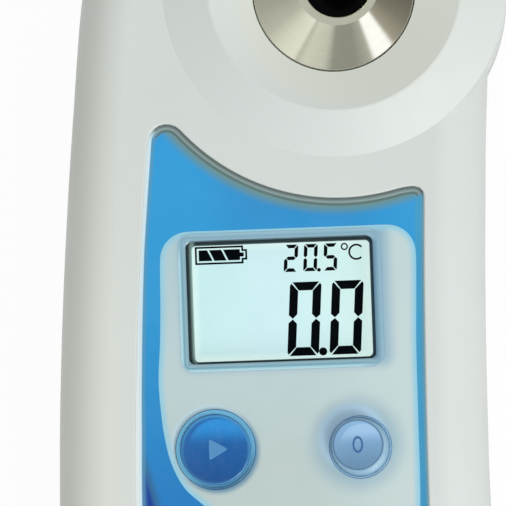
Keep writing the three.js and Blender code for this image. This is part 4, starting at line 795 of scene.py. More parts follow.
def window_rim_with_painted_shade():
    """Pale blue rim of the window, with a darker band painted as the shade of a fine groove and a pale line
    painted as a highlight, both fading to the right and the top, and painted shade beside the window's right
    wall.
    """
    material, tree, shader = finish_of("window rim", Coat_Weight=1.0, Coat_Roughness=0.05)
    x, y, _ = xyz(tree)
    tones = [
        (0.0, srgb(112, 152, 170)),
        (0.2, srgb(152, 192, 204)),
        (0.36, srgb(148, 188, 200)),
        (0.47, srgb(120, 168, 186)),
        (0.58, srgb(138, 188, 204)),
        (0.78, srgb(184, 228, 242)),
        (0.9, srgb(188, 228, 240)),
        (1.0, srgb(190, 218, 224)),
    ]
    colour = ramp(tree, share_of(tree, away_from(tree, WINDOW, WINDOW_SIZE), 0.0, 0.95), tones)
    dim = calc(tree, "MAXIMUM", ease(tree, x, 8, 11, 0.0, 0.85), ease(tree, y, 2, 4.6, 0.0, 0.7))
    colour = blend(tree, dim, colour, srgb(146, 186, 206))
    # Painted shade beside the window's right wall.
    painted_right_shade = product(
        tree,
        ease(tree, x, 9.6, 10.4),
        ease(tree, x, 10.4, 11.2, 0.9, 0.0),
        ease(tree, y, 3.7, 4.6, 1.0, 0.0),
        ease(tree, y, -10.2, -9.3),
    )
    colour = blend(tree, painted_right_shade, colour, srgb(60, 112, 146))
    dull = srgb(130, 176, 198)
    grained(tree, shader, colour, dull, 0.08, (0.14, 0.24), grain=0.4, patch=6.0, depth=0.02)
    return material


def cap_plastic(name, centre, radius, coat, tints):
    """Glossy cap of a button with painted shading, lighter towards the top, a painted highlight in its upper
    part, and a fine line at its edge.
    """
    material, tree, shader = finish_of(name, Coat_Weight=coat, Coat_Roughness=0.1)
    _, y, _ = xyz(tree)
    share = share_of(tree, y, centre[1] - radius, centre[1] + radius)
    # Painted shading: darker towards the bottom of the cap and lighter towards the top.
    colour = ramp(tree, share, [(0.0, tints["bottom"]), (1.0, tints["top"])])
    # Painted highlight: a lighter patch in the upper part of the cap, which stands for a reflection.
    distance = away_from(tree, beside(centre, 0.1 * radius, 0))
    inside = ease(tree, distance, 0.84 * radius, 0.92 * radius, 1.0, 0.0)
    upper = ease(tree, share, 0.55, 0.85)
    colour = blend(tree, product(tree, inside, upper), colour, tints["painted highlight"])
    across = value_of(tree, "edge")
    colour = blend(tree, ease(tree, across, -0.12, -0.02, 1.0, 0.0), colour, tints["wall"])
    line = product(tree, ease(tree, across, -0.16, -0.02), ease(tree, across, 0.04, 0.2, 1.0, 0.0))
    # The edge line too goes from its lower colour to its upper one, which is painted shading on the large
    # cap.
    edging = ramp(tree, share, [(0.2, tints["lower edge"]), (0.85, tints["upper edge"])])
    colour = blend(tree, line, colour, edging)
    grained(tree, shader, colour, tints["bottom"], 0.08, (0.2, 0.32), grain=0.4, patch=3.0, depth=0.03)
    return material


def ring_plastic(name, centre, radius, top, bottom):
    """Glossy ring round a button with painted shading, darker at its lower right, and painted light where it
    meets the cap, against the shade that the cap throws.
    """
    material, tree, shader = finish_of(name, Coat_Weight=0.8, Coat_Roughness=0.06)
    x, y, _ = xyz(tree)
    # Painted shading: darker towards the lower right of the ring, lighter towards its upper left.
    rightward, upward = -0.36, 0.93
    level = calc(tree, "MULTIPLY_ADD", x, rightward, product(tree, y, upward))
    middle = centre[0] * rightward + centre[1] * upward
    share = share_of(tree, level, middle - radius, middle + radius)
    light = tuple(low + 0.75 * (high - low) for low, high in zip(bottom, top))
    colour = ramp(tree, share, [(0.06, bottom), (0.32, light), (1.0, top)])
    # Painted light at the inner edge, where the cap shades the ring.
    colour = tint_near(tree, colour, top, centre, 0.89 * radius, 0.95 * radius, 0.6)
    grained(tree, shader, colour, bottom, 0.08, (0.16, 0.26), grain=0.4, patch=3.0, depth=0.03)
    return material


def display_face():
    """Pale face of the display, a little greener to the right, glowing as painted light and painted lighter
    towards its edges.
    """
    material, tree, shader = finish_of("display face", Emission_Strength=0.8)
    x, _, _ = xyz(tree)
    pales = [(0.0, srgb(204, 241, 240)), (0.4, srgb(206, 240, 245)), (1.0, srgb(216, 247, 240))]
    pale = ramp(tree, share_of(tree, x, -11, 11), pales)
    # Painted light towards the edges of the display, against the shade of the gasket round it.
    edge = ease(tree, away_from(tree, WINDOW, beside(WINDOW_SIZE, -3.2, -2.8)), 0.0, 0.9, 0.0, 0.7)
    pale = blend(tree, edge, pale, srgb(230, 255, 250))
    bluish = srgb(190, 232, 242)
    face, _ = grained(tree, shader, pale, bluish, 0.12, (0.4, 0.55), grain=0.12, patch=6.0, depth=0.02)
    # The face glows in its own colour, a painted light, with a base colour dimmed to match.
    tree.links.new(face, shader["Emission Color"])
    tree.links.new(blend(tree, 1.0, face, (0.24, 0.24, 0.24, 1.0), "MULTIPLY"), shader["Base Color"])
    return material


def clear_window():
    """Clear window over the display."""
    material, tree, shader = finish_of("clear window")
    tones = srgb(48, 66, 74), srgb(58, 76, 84)
    _, marks = grained(tree, shader, *tones, 1.0, (0.04, 0.09), grain=0.6, patch=7.0, depth=0.01)
    tree.links.new(ease(tree, marks["Gloss Change"], 0.0, 1.0, 0.01, 0.02), shader["Alpha"])
    return material


def prism_glass():
    """Dark polished face of the measuring prism."""
    material, tree, shader = finish_of("prism glass", IOR=1.52, Specular_IOR_Level=0.05)
    tones = srgb(1, 1, 2), srgb(3, 3, 4)
    grained(tree, shader, *tones, 1.0, (0.02, 0.06), grain=0.8, patch=4.0, depth=0.005)
    return material


# The numbers of a plastic: roughness, size of grain, depth of relief, change of tone, size of
# patches. Those of turned metal: roughness, its axis, width of the rings, depth, change of tone
SHELL = shell_plastic()
BACK = plastic("back plastic", srgb(208, 212, 209), 0.48, 0.28, 0.4, 0.02, 20.0)
LABEL = label_print_and_painted_edge()
FIELD = field_print_and_painted_shade()
LIP = window_rim_with_painted_shade()
GASKET = gasket_plastic()
CLEAR = clear_window()
FACE = display_face()
INK = plastic("display ink", srgb(4, 6, 10), 0.5, 0.3, 0.02, 0.05, 6.0, Specular_IOR_Level=0.02)
STEEL = metal("polished steel", srgb(228, 227, 209), 0.085, WELL, 0.12, 0.02, 0.02)
PRISM = prism_glass()
SCREW_STEEL = plastic("screw steel", srgb(176, 178, 180), 0.3, 0.15, 0.15, 0.06, 2.0, Metallic=1.0)
COIN_STEEL = metal("coin screw steel", srgb(188, 190, 190), 0.26, COIN, 0.09, 0.12, 0.1)
# Colours of the button caps: top and bottom paint shading, lighter towards the top, and the painted
# highlight paints a reflection.
START_TINTS = {
    "top": srgb(36, 116, 190),
    "bottom": srgb(20, 82, 150),
    "lower edge": srgb(28, 94, 154),
    "upper edge": srgb(62, 150, 208),
    "wall": srgb(62, 142, 200),
    "painted highlight": srgb(44, 150, 226),
}
ZERO_TINTS = {
    "top": srgb(146, 194, 236),
    "bottom": srgb(98, 136, 170),
    "lower edge": srgb(84, 126, 160),
    "upper edge": srgb(84, 126, 160),
    "wall": srgb(150, 190, 218),
    "painted highlight": srgb(168, 208, 246),
}
START_CAP = cap_plastic("start cap", START, 4.05, 0.35, START_TINTS)
ZERO_CAP = cap_plastic("zero cap", ZERO, ZERO_TOP_RADIUS, 0.6, ZERO_TINTS)
START_RING = ring_plastic("start ring", START, START_HOLE, srgb(112, 190, 228), srgb(50, 110, 146))
ZERO_RING = ring_plastic("zero ring", ZERO, 3.7, srgb(156, 200, 232), srgb(150, 188, 214))
START_MARK = plastic("start mark", srgb(88, 150, 205), 0.3, 0.4, 0.02, 0.04, 4.0, Coat_Weight=0.8)
ZERO_MARK = plastic("zero mark", srgb(64, 112, 166), 0.3, 0.4, 0.02, 0.04, 4.0, Coat_Weight=0.8)
BOARD_GREEN = srgb(44, 108, 70)
BY_SLOT = {
    "shell_plastic": SHELL,
    "back_plastic": BACK,
    "label_blue": LABEL,
    "clear_plastic": CLEAR,
    "lcd_glass": FACE,
    "optical_glass": PRISM,
    "lens_glass": plastic(
        "lens glass", srgb(206, 224, 228), 0.05, 0.8, 0.01, 0.03, 4.0, Transmission_Weight=0.8
    ),
    "start_blue": START_CAP,
    "zero_blue": ZERO_CAP,
    "trim_blue": START_RING,
    "black_plastic": plastic("black plastic", srgb(36, 54, 58), 0.42, 0.3, 0.15, 0.08, 8.0),
    "stage_steel": STEEL,
    "screw_steel": SCREW_STEEL,
    "spring_metal": plastic("spring metal", srgb(206, 207, 204), 0.25, 0.2, 0.08, 0.05, 3.0, Metallic=1.0),
    "brass": plastic("brass", srgb(196, 164, 98), 0.28, 0.2, 0.08, 0.06, 3.0, Metallic=1.0),
    "rubber": plastic("rubber", srgb(44, 46, 48), 0.75, 0.25, 0.3, 0.06, 6.0),
    "circuit_board": plastic(
        "board green", BOARD_GREEN, 0.4, 0.4, 0.1, 0.1, 4.0, Coat_Weight=0.5, Coat_Roughness=0.2
    ),
    "cable_film": plastic("cable film", srgb(204, 144, 64), 0.3, 0.4, 0.05, 0.06, 4.0),
    "battery_wrap": plastic("battery wrap", srgb(76, 86, 98), 0.3, 0.4, 0.04, 0.06, 8.0, Coat_Weight=0.4),
}

for part in frame["record"]["subparts"]:
    node = frame["nodes"][part["node"]]
    node.data.materials.clear()
    node.data.materials.append(BY_SLOT[part["material_slot"]])

# Case


def rounded_levels(inset, start, face, radius, count):
    """Levels (inset, height) from a square edge to a face whose edge is rounded."""
    up = math.copysign(1, face - start)
    levels = []
    for step in range(count + 1):
        angle = math.pi / 2 * step / count
        levels.append((inset + radius * (1 - math.cos(angle)), face - up * radius * (1 - math.sin(angle))))
    return levels


def seam_levels(z, up):
    """Levels (inset, height) of a shell's rounded edge at the parting line."""
    return [(0.3, z), (0.09, z + 0.09 * up), (0.0, z + 0.3 * up)]


def body_stack(name, levels, loop):
    """The body's outline stacked up over (inset, height) levels."""
    return skinned(name, stack(lambda inset: grown(loop, -inset), levels))


def drum_stack(name, levels, profile_top=()):
    """The drum of the head over the same levels."""
    wall = [(DRUM_RADIUS - inset, z) for inset, z in levels]
    profile = [(0, wall[0][1]), *wall, *profile_top]
    profile.append((0, profile[-1][1]))
    return turned(name, WELL, profile)


def front_shell():
    seam = seam_levels(PARTING_Z, 1)
    levels = seam + rounded_levels(0, PARTING_Z, FACE_Z, FRONT_EDGE, 14)
    shell = body_stack("front_shell", levels, body_loop())
    ridge = [
        (DRUM_RADIUS - 0.05, FACE_Z - 0.02),
        (DRUM_RADIUS - 0.16, FACE_Z + 0.06),
        (RIDGE_RADIUS + 0.22, TOP_Z - 0.06),
        (RIDGE_RADIUS + 0.08, TOP_Z - 0.015),
        (RIDGE_RADIUS - 0.1, TOP_Z),
    ]
    combine(shell, [drum_stack("head", seam + [(0.0, FACE_Z - 0.12)], ridge)], "UNION")
    low = PARTING_Z - 1
    inner = [(WALL, low)] + rounded_levels(WALL, low, ROOF_Z, INNER_EDGE, 4)
    seat_radius, bore_radius, seat_z = 8.5, 9.58, 28.3
    well = [
        (0, ROOF_Z - 1),
        (seat_radius, ROOF_Z - 1),
        (seat_radius, seat_z),
        (bore_radius, seat_z),
        (bore_radius, DISH_Z - 0.06),
        (bore_radius + 0.06, DISH_Z),
        (bore_radius + 0.22, DISH_Z + 0.02),
        (RIDGE_RADIUS - 0.36, TOP_Z - 0.1),
        (RIDGE_RADIUS - 0.22, TOP_Z - 0.035),
        (RIDGE_RADIUS - 0.1, TOP_Z),
        (RIDGE_RADIUS - 0.1, TOP_Z + 1),
        (0, TOP_Z + 1),
    ]
    recess = [
        (0.0, RECESS_Z),
        (0.0, FACE_Z - 0.22),
        (0.05, FACE_Z - 0.09),
        (0.18, FACE_Z - 0.005),
        (0.26, FACE_Z + 0.02),
        (0.26, FACE_Z + 0.9),
    ]
    base = label_loop(LABEL_REACH)
    start_bore, zero_bore = 4.3, 3.75
    under, over = ROOF_Z - 1, RECESS_Z + 0.5
    cuts = [
        body_stack("hollow", inner, body_loop(110)),
        drum_stack("head hollow", [(WALL, low), (WALL, ROOF_Z)]),
        turned("well cut", WELL, well, 200, leaning(CUP_RIM_MIDDLE, WELL, DISH_Z, TOP_Z)),
        skinned("recess", stack(lambda grow: grown(base, grow), recess)),
        slab("window cut", window_loop(1.8), under, over),
        rod("start cut", START, under, over, start_bore),
        rod("zero cut", ZERO, under, over, zero_bore),
    ]
    combine(shell, cuts, "DIFFERENCE")
    settle(shell, "housing", SHELL, ["front_housing"])


def rear_shell():
    top = PARTING_Z - SEAM_GAP
    levels = (seam_levels(top, -1) + rounded_levels(0, top, 0, BACK_EDGE, 12))[::-1]
    shell = body_stack("rear_shell", levels, body_loop())
    combine(shell, [drum_stack("head back", levels)], "UNION")
    inner = [(WALL, top + 1)] + rounded_levels(WALL, top + 1, WALL, BACK_EDGE - WALL, 4)
    hollow = body_stack("hollow", inner[::-1], body_loop(110))
    combine(shell, [hollow, drum_stack("head hollow", inner[::-1])], "DIFFERENCE")
    in_wall = WALL / 2
    post_radius, boss_radius = 4.0, 4.8
    bay_top, pad_top, boss_top = 14.6, 3.4, 10.4
    added = [
        *(rod("post", place, in_wall, top, post_radius) for place in HOUSING_SCREWS),
        slab("bay", bay_loop(BAY_WALL), in_wall, bay_top),
        slab("pad", cover_loop(BAY_WALL), in_wall, pad_top),
        rod("boss", COIN, in_wall, boss_top, boss_radius),
    ]
    combine(shell, added, "UNION")
    cuts = [
        skinned("cover cut", stack(cover_loop, [(0.7, -1), (0.7, 0), (0.3, 0.4), (0.3, 1.7)])),
        slab("bay cut", bay_loop(), 1, 13.4),
        rod("boss cut", COIN, 1, 3.3, 5.5),
        rod("clip cut", COIN, 1, 4.6, 3.3),
        rod("insert cut", COIN, 1, 9.2, 3.0),
    ]
    sink = [(0, -1), (3.2, -1), (3.2, 0), (2.9, 0.3), (2.9, 5.0), (1.5, 5.0), (1.5, 15), (0, 15)]
    cuts += [turned("screw cut", place, sink, 64) for place in HOUSING_SCREWS]
    combine(shell, cuts, "DIFFERENCE")
    settle(shell, "housing", BACK, ["rear_housing"])


# Back


def soft_bar(name, middle, size, low, high, soft):
    """A low bar whose lower edges are rounded."""
    radius = min(size) / 2 - 0.001

    def outline(inset):
        return rounded_rectangle(middle, beside(size, -2 * inset, -2 * inset), radius - inset, 5)

    angles = [math.pi / 2 * step / 4 for step in range(5)]
    levels = [(soft * (1 - math.sin(angle)), low + soft * (1 - math.cos(angle))) for angle in angles]
    return skinned(name, stack(outline, [*levels, (0.0, high)]))


def battery_cover():
    """Cover with finger ribs, a plug that enters the bay and a seat for the coin screw."""
    levels = [(0.35, 0.3), (0.18, 0.33), (0.05, 0.43), (0.0, 0.6), (0.0, 1.6)]
    cover = body_stack("battery_cover", levels, cover_loop())
    added = [slab("plug", bay_loop(-0.6), 1.2, 2.5), rod("boss", COIN, 1.2, 3.2, 5.2)]
    first_rib, rib_pitch, rib_size = -46.2, 1.7, (15.0, 0.8)
    for step in range(6):
        middle = (GRIP_MIDDLE, first_rib + rib_pitch * step)
        added.append(soft_bar("rib", middle, rib_size, 0.04, 0.6, 0.2))
    combine(cover, added, "UNION")
    seat = [
        (0, -1),
        (4.6, -1),
        (4.6, 0.29),
        (4.2, 0.5),
        (4.12, 0.7),
        (4.12, 1.53),
        (1.6, 1.53),
        (1.6, 4),
        (0, 4),
    ]
    groove = [(0.25, 0.95), (1.25, 0.95), (1.25, 3.4), (0.25, 3.4)]
    cuts = [turned("seat", COIN, seat, 96), skinned("groove", stack(bay_loop, groove), closed=True)]
    combine(cover, cuts, "DIFFERENCE")
    settle(cover, "battery_cover", BACK, ["battery_cover"])


def thread(radius, low, high, pitch, depth):
    """The outline of a cut thread from one height to another."""
    points = []
    for turn in range(int((high - low) / pitch)):
        start = low + turn * pitch
        points += [(radius, start), (radius, start + 0.25 * pitch)]
        points += [(radius - depth, start + 0.6 * pitch), (radius - depth, start + 0.7 * pitch)]
    return [*points, (radius, high)]


def milled_circle(centre, radius, depth, count):
    """A circle with fine teeth round it."""
    points = []
    for index, angle in enumerate(steps(0, 2 * math.pi, count)):
        reach = radius - (depth if index % 4 >= 2 else 0)
        points += points_round(centre, reach, [angle])
    return points


def slotted_coin_screw():
    """Screw with a milled head that a coin turns, a neck for its clip and a cut thread."""
    count = 160
    milled = milled_circle(COIN, 4.0, 0.12, count)
    head = [
        at(circle(COIN, 3.6, count), 0.3),
        at(circle(COIN, 3.78, count), 0.34),
        at(circle(COIN, 3.9, count), 0.46),
        at(milled, 0.58),
        at(milled, 1.4),
        at(circle(COIN, 3.85, count), 1.5),
    ]
    screw = skinned("coin_screw", head)
    neck = [(0, 1.2), (1.5, 1.2), (1.5, 3.2), (1.1, 3.2), (1.1, 4.0)]
    stem = [*neck, *thread(1.5, 4.0, 8.5, 0.5, 0.22), (1.15, 8.9), (0, 8.9)]
    combine(screw, [turned("stem", COIN, stem, 48)], "UNION")
    combine(screw, [slab("slot", rounded_rectangle(COIN, (9.0, 1.4), 0.2), -1, 1.0)], "DIFFERENCE")
    settle(screw, "coin_screw", COIN_STEEL, ["coin_screw"])


def housing_screws():
    """Four screws with rounded heads and cross recesses, deep in the back."""
    head = [(0, 2.9), (1.5, 2.92), (2.1, 3.02), (2.45, 3.25), (2.6, 3.6), (2.6, 4.9), (1.2, 4.9)]
    profile = [*head, *thread(1.2, 6.0, 20.2, 0.8, 0.25), (0.7, 20.9), (0, 20.9)]
    arms = [((2.9, 0.64), 4.1), ((0.64, 2.9), 4.1), ((1.25, 1.25), 4.4)]
    for number, place in enumerate(HOUSING_SCREWS, 1):
        screw = turned(f"housing_screw_head_{number}", place, profile, 48)
        cuts = [slab("recess arm", rounded_rectangle(place, size, 0.2, 3), 2, deep) for size, deep in arms]
        combine(screw, cuts, "DIFFERENCE")
        settle(screw, "housing", SCREW_STEEL, [f"housing_screw_{number}"])


# Sample well


def sample_cup():
    """Steel cup with a flat lip, a cone that runs down to its floor and a skirt round the prism."""
    profile = [
        (9.44, 28.4),
        (9.44, DISH_Z - 0.04),
        (9.41, DISH_Z + 0.01),
        (9.36, DISH_Z + 0.02),
        (9.3, DISH_Z - 0.02),
        (7.2, 28.1),
        (5.04, CUP_FLOOR_Z + 0.2),
        (4.92, CUP_FLOOR_Z + 0.12),
        (4.76, CUP_FLOOR_Z + 0.08),
        (4.22, CUP_FLOOR_Z + 0.03),
        (4.12, CUP_FLOOR_Z),
        (4.06, CUP_FLOOR_Z - 0.06),
        (4.04, CUP_FLOOR_Z - 0.14),
        (4.04, 26.2),
        (4.75, 26.2),
        (4.75, 24.9),
        (5.75, 24.9),
        (5.75, 23.4),
        (8.1, 23.4),
        (8.1, 28.4),
    ]
    lean = leaning(CUP_FLOOR_MIDDLE, CUP_RIM_MIDDLE, CUP_FLOOR_Z + 0.1, DISH_Z)
    cup = turned("sample_cup", WELL, profile, 256, lean)
    settle(cup, "housing", STEEL, ["sample_stage"], 24)


def measuring_prism():
    """Round prism face with a fine bevel, on a wedge that carries the light to the sensor."""
    radius, low = 4.5, 22.7
    profile = [
        (0, low),
        (radius, low),
        (radius, PRISM_TOP_Z - 0.1),
        (radius - 0.04, PRISM_TOP_Z - 0.03),
        (radius - 0.12, PRISM_TOP_Z),
        (0, PRISM_TOP_Z),
    ]
    prism = turned("prism_block", CUP_FLOOR_MIDDLE, profile)
    corners = ((-3.2, 22.8), (-1.6, 14.1), (1.6, 14.1), (3.2, 22.8))
    wedge = [[(WELL[0] + side, WELL[1] + y, z) for y, z in corners] for side in (-3.0, 3.0)]
    combine(prism, [skinned("wedge", wedge)], "UNION")
    settle(prism, "housing", PRISM, ["prism"])


# Label, its prints and the display

# The label's edge, from its outline inwards: how far in, and how much lower than the face,
# first anywhere and then more where it follows the head's arc
LABEL_EDGE = (
    (0.0, 0.04, 0.14),
    (0.08, 0.02, 0.12),
    (0.16, 0.0, 0.08),
    (0.28, 0.0, 0.0),
    (0.56, 0.0, 0.02),
    (0.66, 0.0, 0.07),
    (0.8, 0.0, 0.07),
    (0.92, 0.0, 0.02),
    (1.12, 0.0, 0.0),
)


def label_holes(low, high, grow, bevel=0.0):
    """The walls of the label's openings for the window and the two buttons, bottom ring first."""
    levels = [(grow, low), (grow, high - bevel)]
    if bevel:
        levels.append((grow + bevel, high))
    outlines = (
        lambda wider: window_loop(WINDOW_OPENING + wider),
        lambda wider: circle(START, START_HOLE + wider),
        lambda wider: circle(ZERO, ZERO_HOLE + wider),
    )
    return [stack(outline, levels) for outline in outlines]


def label():
    """Thick label with a groove along its edge, whose points hold how far in they lie, and where."""
    loop = label_loop(LABEL_REACH)
    x, y = outward(loop).T

    def weight(value, low, high):
        return np.clip((value - low) / (high - low), 0, 1)

    sides = {
        "arc": weight(y, np.where(x > 0, 0.03, 0.2), np.where(x > 0, 0.3, 0.55)),
        "left": weight(-x, 0.6, 0.9),
        "right": weight(x, 0.955, 0.995),
    }
    rings = [at(loop, LABEL_Z)]
    for inset, drop, arc_drop in LABEL_EDGE:
        heights = LABEL_TOP - drop - arc_drop * sides["arc"]
        rings.append([(*point, z) for point, z in zip(grown(loop, -inset), heights)])
    made = plate("label", rings, label_holes(LABEL_Z, LABEL_TOP, 0.0, 0.06))
    insets = [0.0] + [inset for inset, _, _ in LABEL_EDGE]
    mark(made, "rim", np.repeat(insets, len(loop)), 3.0)
    for side, shares in sides.items():
        mark(made, side, np.tile(shares, len(insets)))
    settle(made, "housing", LABEL, ["label_panel"], 40)


def field_loop():
    """The outline of the pale print, with round upper corners and a curved lower left side."""
    left = [
        (-14.75, -7.3),
        (-15.05, -11.4),
        (-14.9, -15.2),
        (-14.6, -18.0),
        (-13.9, -21.2),
        (-12.5, -24.1),
        (-10.8, -25.8),
        (-7.6, -28.4),
        (-2.4, -31.2),
        (4.0, -33.6),
        (9.8, -35.2),
    ]
    end = [(12.6, -35.4), (14.2, -34.4), (14.7, -32.4)]
    right = [(15.1, -26.6), (15.2, -17.0), (15.28, -8.3), (15.5, -2.0)]
    corner, top = 3.3, 5.83
    upper_right = arc_points((15.6 - corner, top - corner), corner, 0, math.pi / 2, 6)
    upper_left = arc_points((-14.4 + corner, top - corner), corner, math.pi / 2, math.pi, 6)
    upper = [(x, top) for x in (9.0, 5.0, 0.0, -5.0, -8.5)]
    return smooth_loop([*left, *end, *right, *upper_right, *upper, *upper_left, (-14.55, -3.0)], 300)


def pale_field():
    loop = field_loop()
    low, high = LABEL_TOP + 0.004, LABEL_TOP + 0.03
    insets = [0.0, 0.15, 0.35, 0.6, 0.9, 1.2]
    rings = [at(loop, low), at(loop, high)] + [at(grown(loop, -inset), high) for inset in insets[1:]]
    made = plate("pale_field", rings, label_holes(low, high, 0.07))
    mark(made, "rim", np.repeat([0.0, *insets], len(loop)), 2.0)
    settle(made, "housing", FIELD)


def window_parts():
    """The window's lip on the label, its gasket and pane, and the display's face."""
    lip = [
        (0.0, LABEL_TOP - 0.3),
        (0.95, LABEL_TOP - 0.3),
        (0.95, LABEL_TOP + 0.03),
        (0.85, LABEL_TOP + 0.05),
        (0.14, LABEL_TOP + 0.05),
        (0.0, LABEL_TOP - 0.02),
    ]
    made = skinned("window_lip", stack(window_loop, lip), closed=True)
    settle(made, "housing", LIP)

    def sight(wider):
        size = beside(WINDOW_SIZE, 2 * wider - 0.98, 2 * wider - 0.66)
        return rounded_rectangle(beside(WINDOW, 0.1, -0.06), size, 0.55 + wider)

    low, high = DISPLAY_Z + 0.1, 27.75
    gasket = stack(window_loop, [(1.5, low), (1.5, high)])
    gasket += stack(sight, [(0.08, high), (0.0, high - 0.1), (0.0, low)])
    made = skinned("window_gasket", gasket, closed=True)
    settle(made, "housing", GASKET, ["window_frame"])
    pane = stack(window_loop, [(-0.1, 27.95), (-0.1, 28.4), (-0.22, 28.52)])
    settle(skinned("window_pane", pane), "housing", CLEAR, ["display_window"])
    face = slab("display_face", window_loop(1.2), 23.9, DISPLAY_Z)
    settle(face, "housing", FACE, ["lcd_glass"])


# The seven bars of a figure, and those that each figure shows
BARS = ("top", "upper right", "lower right", "bottom", "lower left", "upper left", "middle")
FIGURES = {
    "0": BARS[:6],
    "2": ("top", "upper right", "middle", "lower left", "bottom"),
    "5": ("top", "upper left", "middle", "lower right", "bottom"),
}
# Width, height, thickness of a bar, and the gap between two bars
LARGE_FIGURE = (3.72, 8.68, 1.0, 0.06)
SMALL_FIGURE = (1.62, 3.2, 0.42, 0.05)
FIGURE_SLANT = 0.072


def bar_points(name, width, height, bar, gap):
    """The outline of one bar of a figure, about the figure's lower left corner."""
    half = bar / 2
    mid = height / 2
    if name in ("top", "bottom"):
        y, inward = (height, -1) if name == "top" else (0, 1)
        return [
            (gap + half * 0.45, y),
            (width - gap - half * 0.45, y),
            (width - bar - gap, y + inward * bar),
            (bar + gap, y + inward * bar),
        ]
    if name == "middle":
        return [
            (gap + half, mid),
            (gap + bar, mid + half),
            (width - bar - gap, mid + half),
            (width - gap - half, mid),
            (width - bar - gap, mid - half),
            (gap + bar, mid - half),
        ]
    x, inward = (0, 1) if "left" in name else (width, -1)
    y, upward = (height, -1) if "upper" in name else (0, 1)
    return [
        (x, y + upward * (gap + half * 0.7)),
        (x + inward * half * 0.35, y + upward * (gap + half * 0.2)),
        (x + inward * bar, y + upward * (bar + gap)),
        (x + inward * bar, mid - upward * (gap + half)),
        (x + inward * half, mid - upward * (gap * 0.6)),
        (x, mid - upward * (gap + half * 0.8)),
    ]


def window_place(x, y):
    """A point given from the window's upper left corner, in the row frame."""
    return WINDOW[0] - WINDOW_SIZE[0] / 2 + x, WINDOW[1] + WINDOW_SIZE[1] / 2 - y


def figure_loops(figure, left, bottom, sizes):
    corner = window_place(left, bottom)
    return [
        [beside(corner, x + FIGURE_SLANT * y, y) for x, y in bar_points(name, *sizes)]
        for name in FIGURES[figure]
    ]


def ink(name, loops, frames=()):
    """Thin dark marks on the display's face: filled loops, and frames between two loops."""

    def build(mesh):
        for outer, inner in frames:
            rings = [at(outer, INK_LOW), at(outer, INK_HIGH), at(inner, INK_HIGH), at(inner, INK_LOW)]
            skin(mesh, rings, closed=True)
        for loop in loops:
            skin(mesh, [at(loop, INK_LOW), at(loop, INK_HIGH)])

    settle(shape(name, build), "housing", INK)


def figures():
    """A large and a small number, each with its point."""
    base = 13.72
    large = [circle(window_place(15.66, base - 0.42), 0.48, 32)]
    for left in (11.42, 16.38):
        large += figure_loops("0", left, base, LARGE_FIGURE)
    ink("large_figures", large)
    base = 3.81
    small = [circle(window_place(15.5, base - 0.13), 0.22, 24)]
    for figure, left in (("2", 11.33), ("0", 13.63), ("5", 15.98)):
        small += figure_loops(figure, left, base, SMALL_FIGURE)
    ink("small_figures", small)


def gauge_loop(inset):
    """The battery gauge's outline with its nub, from the gauge's upper left corner."""
    left, body, nub = inset, 5.7 - inset, 6.15 - inset
    top, shoulder = 0.04 - inset, -0.4 - inset
    bottom, foot = -2.08 + inset, -1.64 + inset
    right = [(body, top), (body, shoulder), (nub, shoulder), (nub, foot), (body, foot), (body, bottom)]
    return [(left, top), *right, (left, bottom)]


def battery_gauge():
    """A frame with three slanted bars, of which the last fills the nub."""
    top, bottom, lean = -0.38, -1.66, 0.62
    nub = [(5.3, top), (5.3, -0.78), (5.75, -0.78), (5.75, -1.26), (5.3, -1.26), (5.3, bottom)]
    bars = (
        [(0.44, top), (2.06 - lean, top), (2.06, bottom), (0.44, bottom)],
        [(2.28 - lean, top), (3.72 - lean, top), (3.72, bottom), (2.28, bottom)],
        [(3.94 - lean, top), *nub, (3.94, bottom)],
    )
    corner = window_place(0.96, 0.53)
    outer, inner, *loops = (
        [beside(corner, x, y) for x, y in loop] for loop in (gauge_loop(0.0), gauge_loop(0.22), *bars)
    )
    ink("battery_gauge", loops, [(outer, inner)])


def unit_mark():
    """A small ring and an open ring beside it."""

    def rings(middle, radius, thickness, opening):
        bearings = steps(opening, 2 * math.pi - opening, 40)
        return [points_round(middle, reach, bearings) for reach in (radius, radius - thickness)]

    degree = rings(window_place(18.58, 1.05), 0.43, 0.17, 0.0)
    outer, inner = rings(window_place(19.97, 1.72), 0.95, 0.22, 0.72)
    ink("unit_mark", [outer + inner[::-1]], [degree])


# Buttons


def button(name, centre, radii, heights, edge, lean, material, node):
    """A cap with a softly domed top that leans a little, its flange and its stem."""
    radius, top_radius = radii
    level, top = heights
    stem, flange = 1.6, radius + 0.8
    foot, flange_low, flange_high = 24.4, 25.7, 26.7
    profile = [
        (0, foot),
        (stem, foot),
        (stem, flange_low),
        (flange, flange_low),
        (flange, flange_high),
        (radius, flange_high),
        (radius, level),
    ]
    below = len(profile)
    rise = 0.14
    for step in range(7):
        angle = math.pi / 2 * step / 6
        inset = edge * (1 - math.cos(angle))
        profile.append((top_radius - inset, top - rise - edge * (1 - math.sin(angle))))
    crown = top_radius - edge
    for share in (0.94, 0.85, 0.65, 0.4, 0.2):
        profile.append((crown * share, top - rise * share**2))
    profile.append((0, top))
    middle = leaning(centre, beside(centre, *lean), level, top)
    made = turned(name, centre, profile, BUTTON_SIDES, middle)
    across = []
    for index, (ring_radius, _) in enumerate(profile):
        place = crown - ring_radius if index >= below else -1.0
        across += [place] * (BUTTON_SIDES if ring_radius else 1)
    mark(made, "edge", across)
    settle(made, node, material, [node], 40)


def button_ring(name, centre, radii, top, bevel, material, node):
    inner, outer = radii
    fine = 0.01
    profile = [
        (inner, RECESS_Z),
        (inner, top - fine),
        (inner + fine, top),
        (outer - bevel, top),
        (outer - bevel / 3, top - bevel / 3),
        (outer, top - bevel),
        (outer, RECESS_Z),
    ]
    settle(turned(name, centre, profile, BUTTON_SIDES), "housing", material, [node], 50)


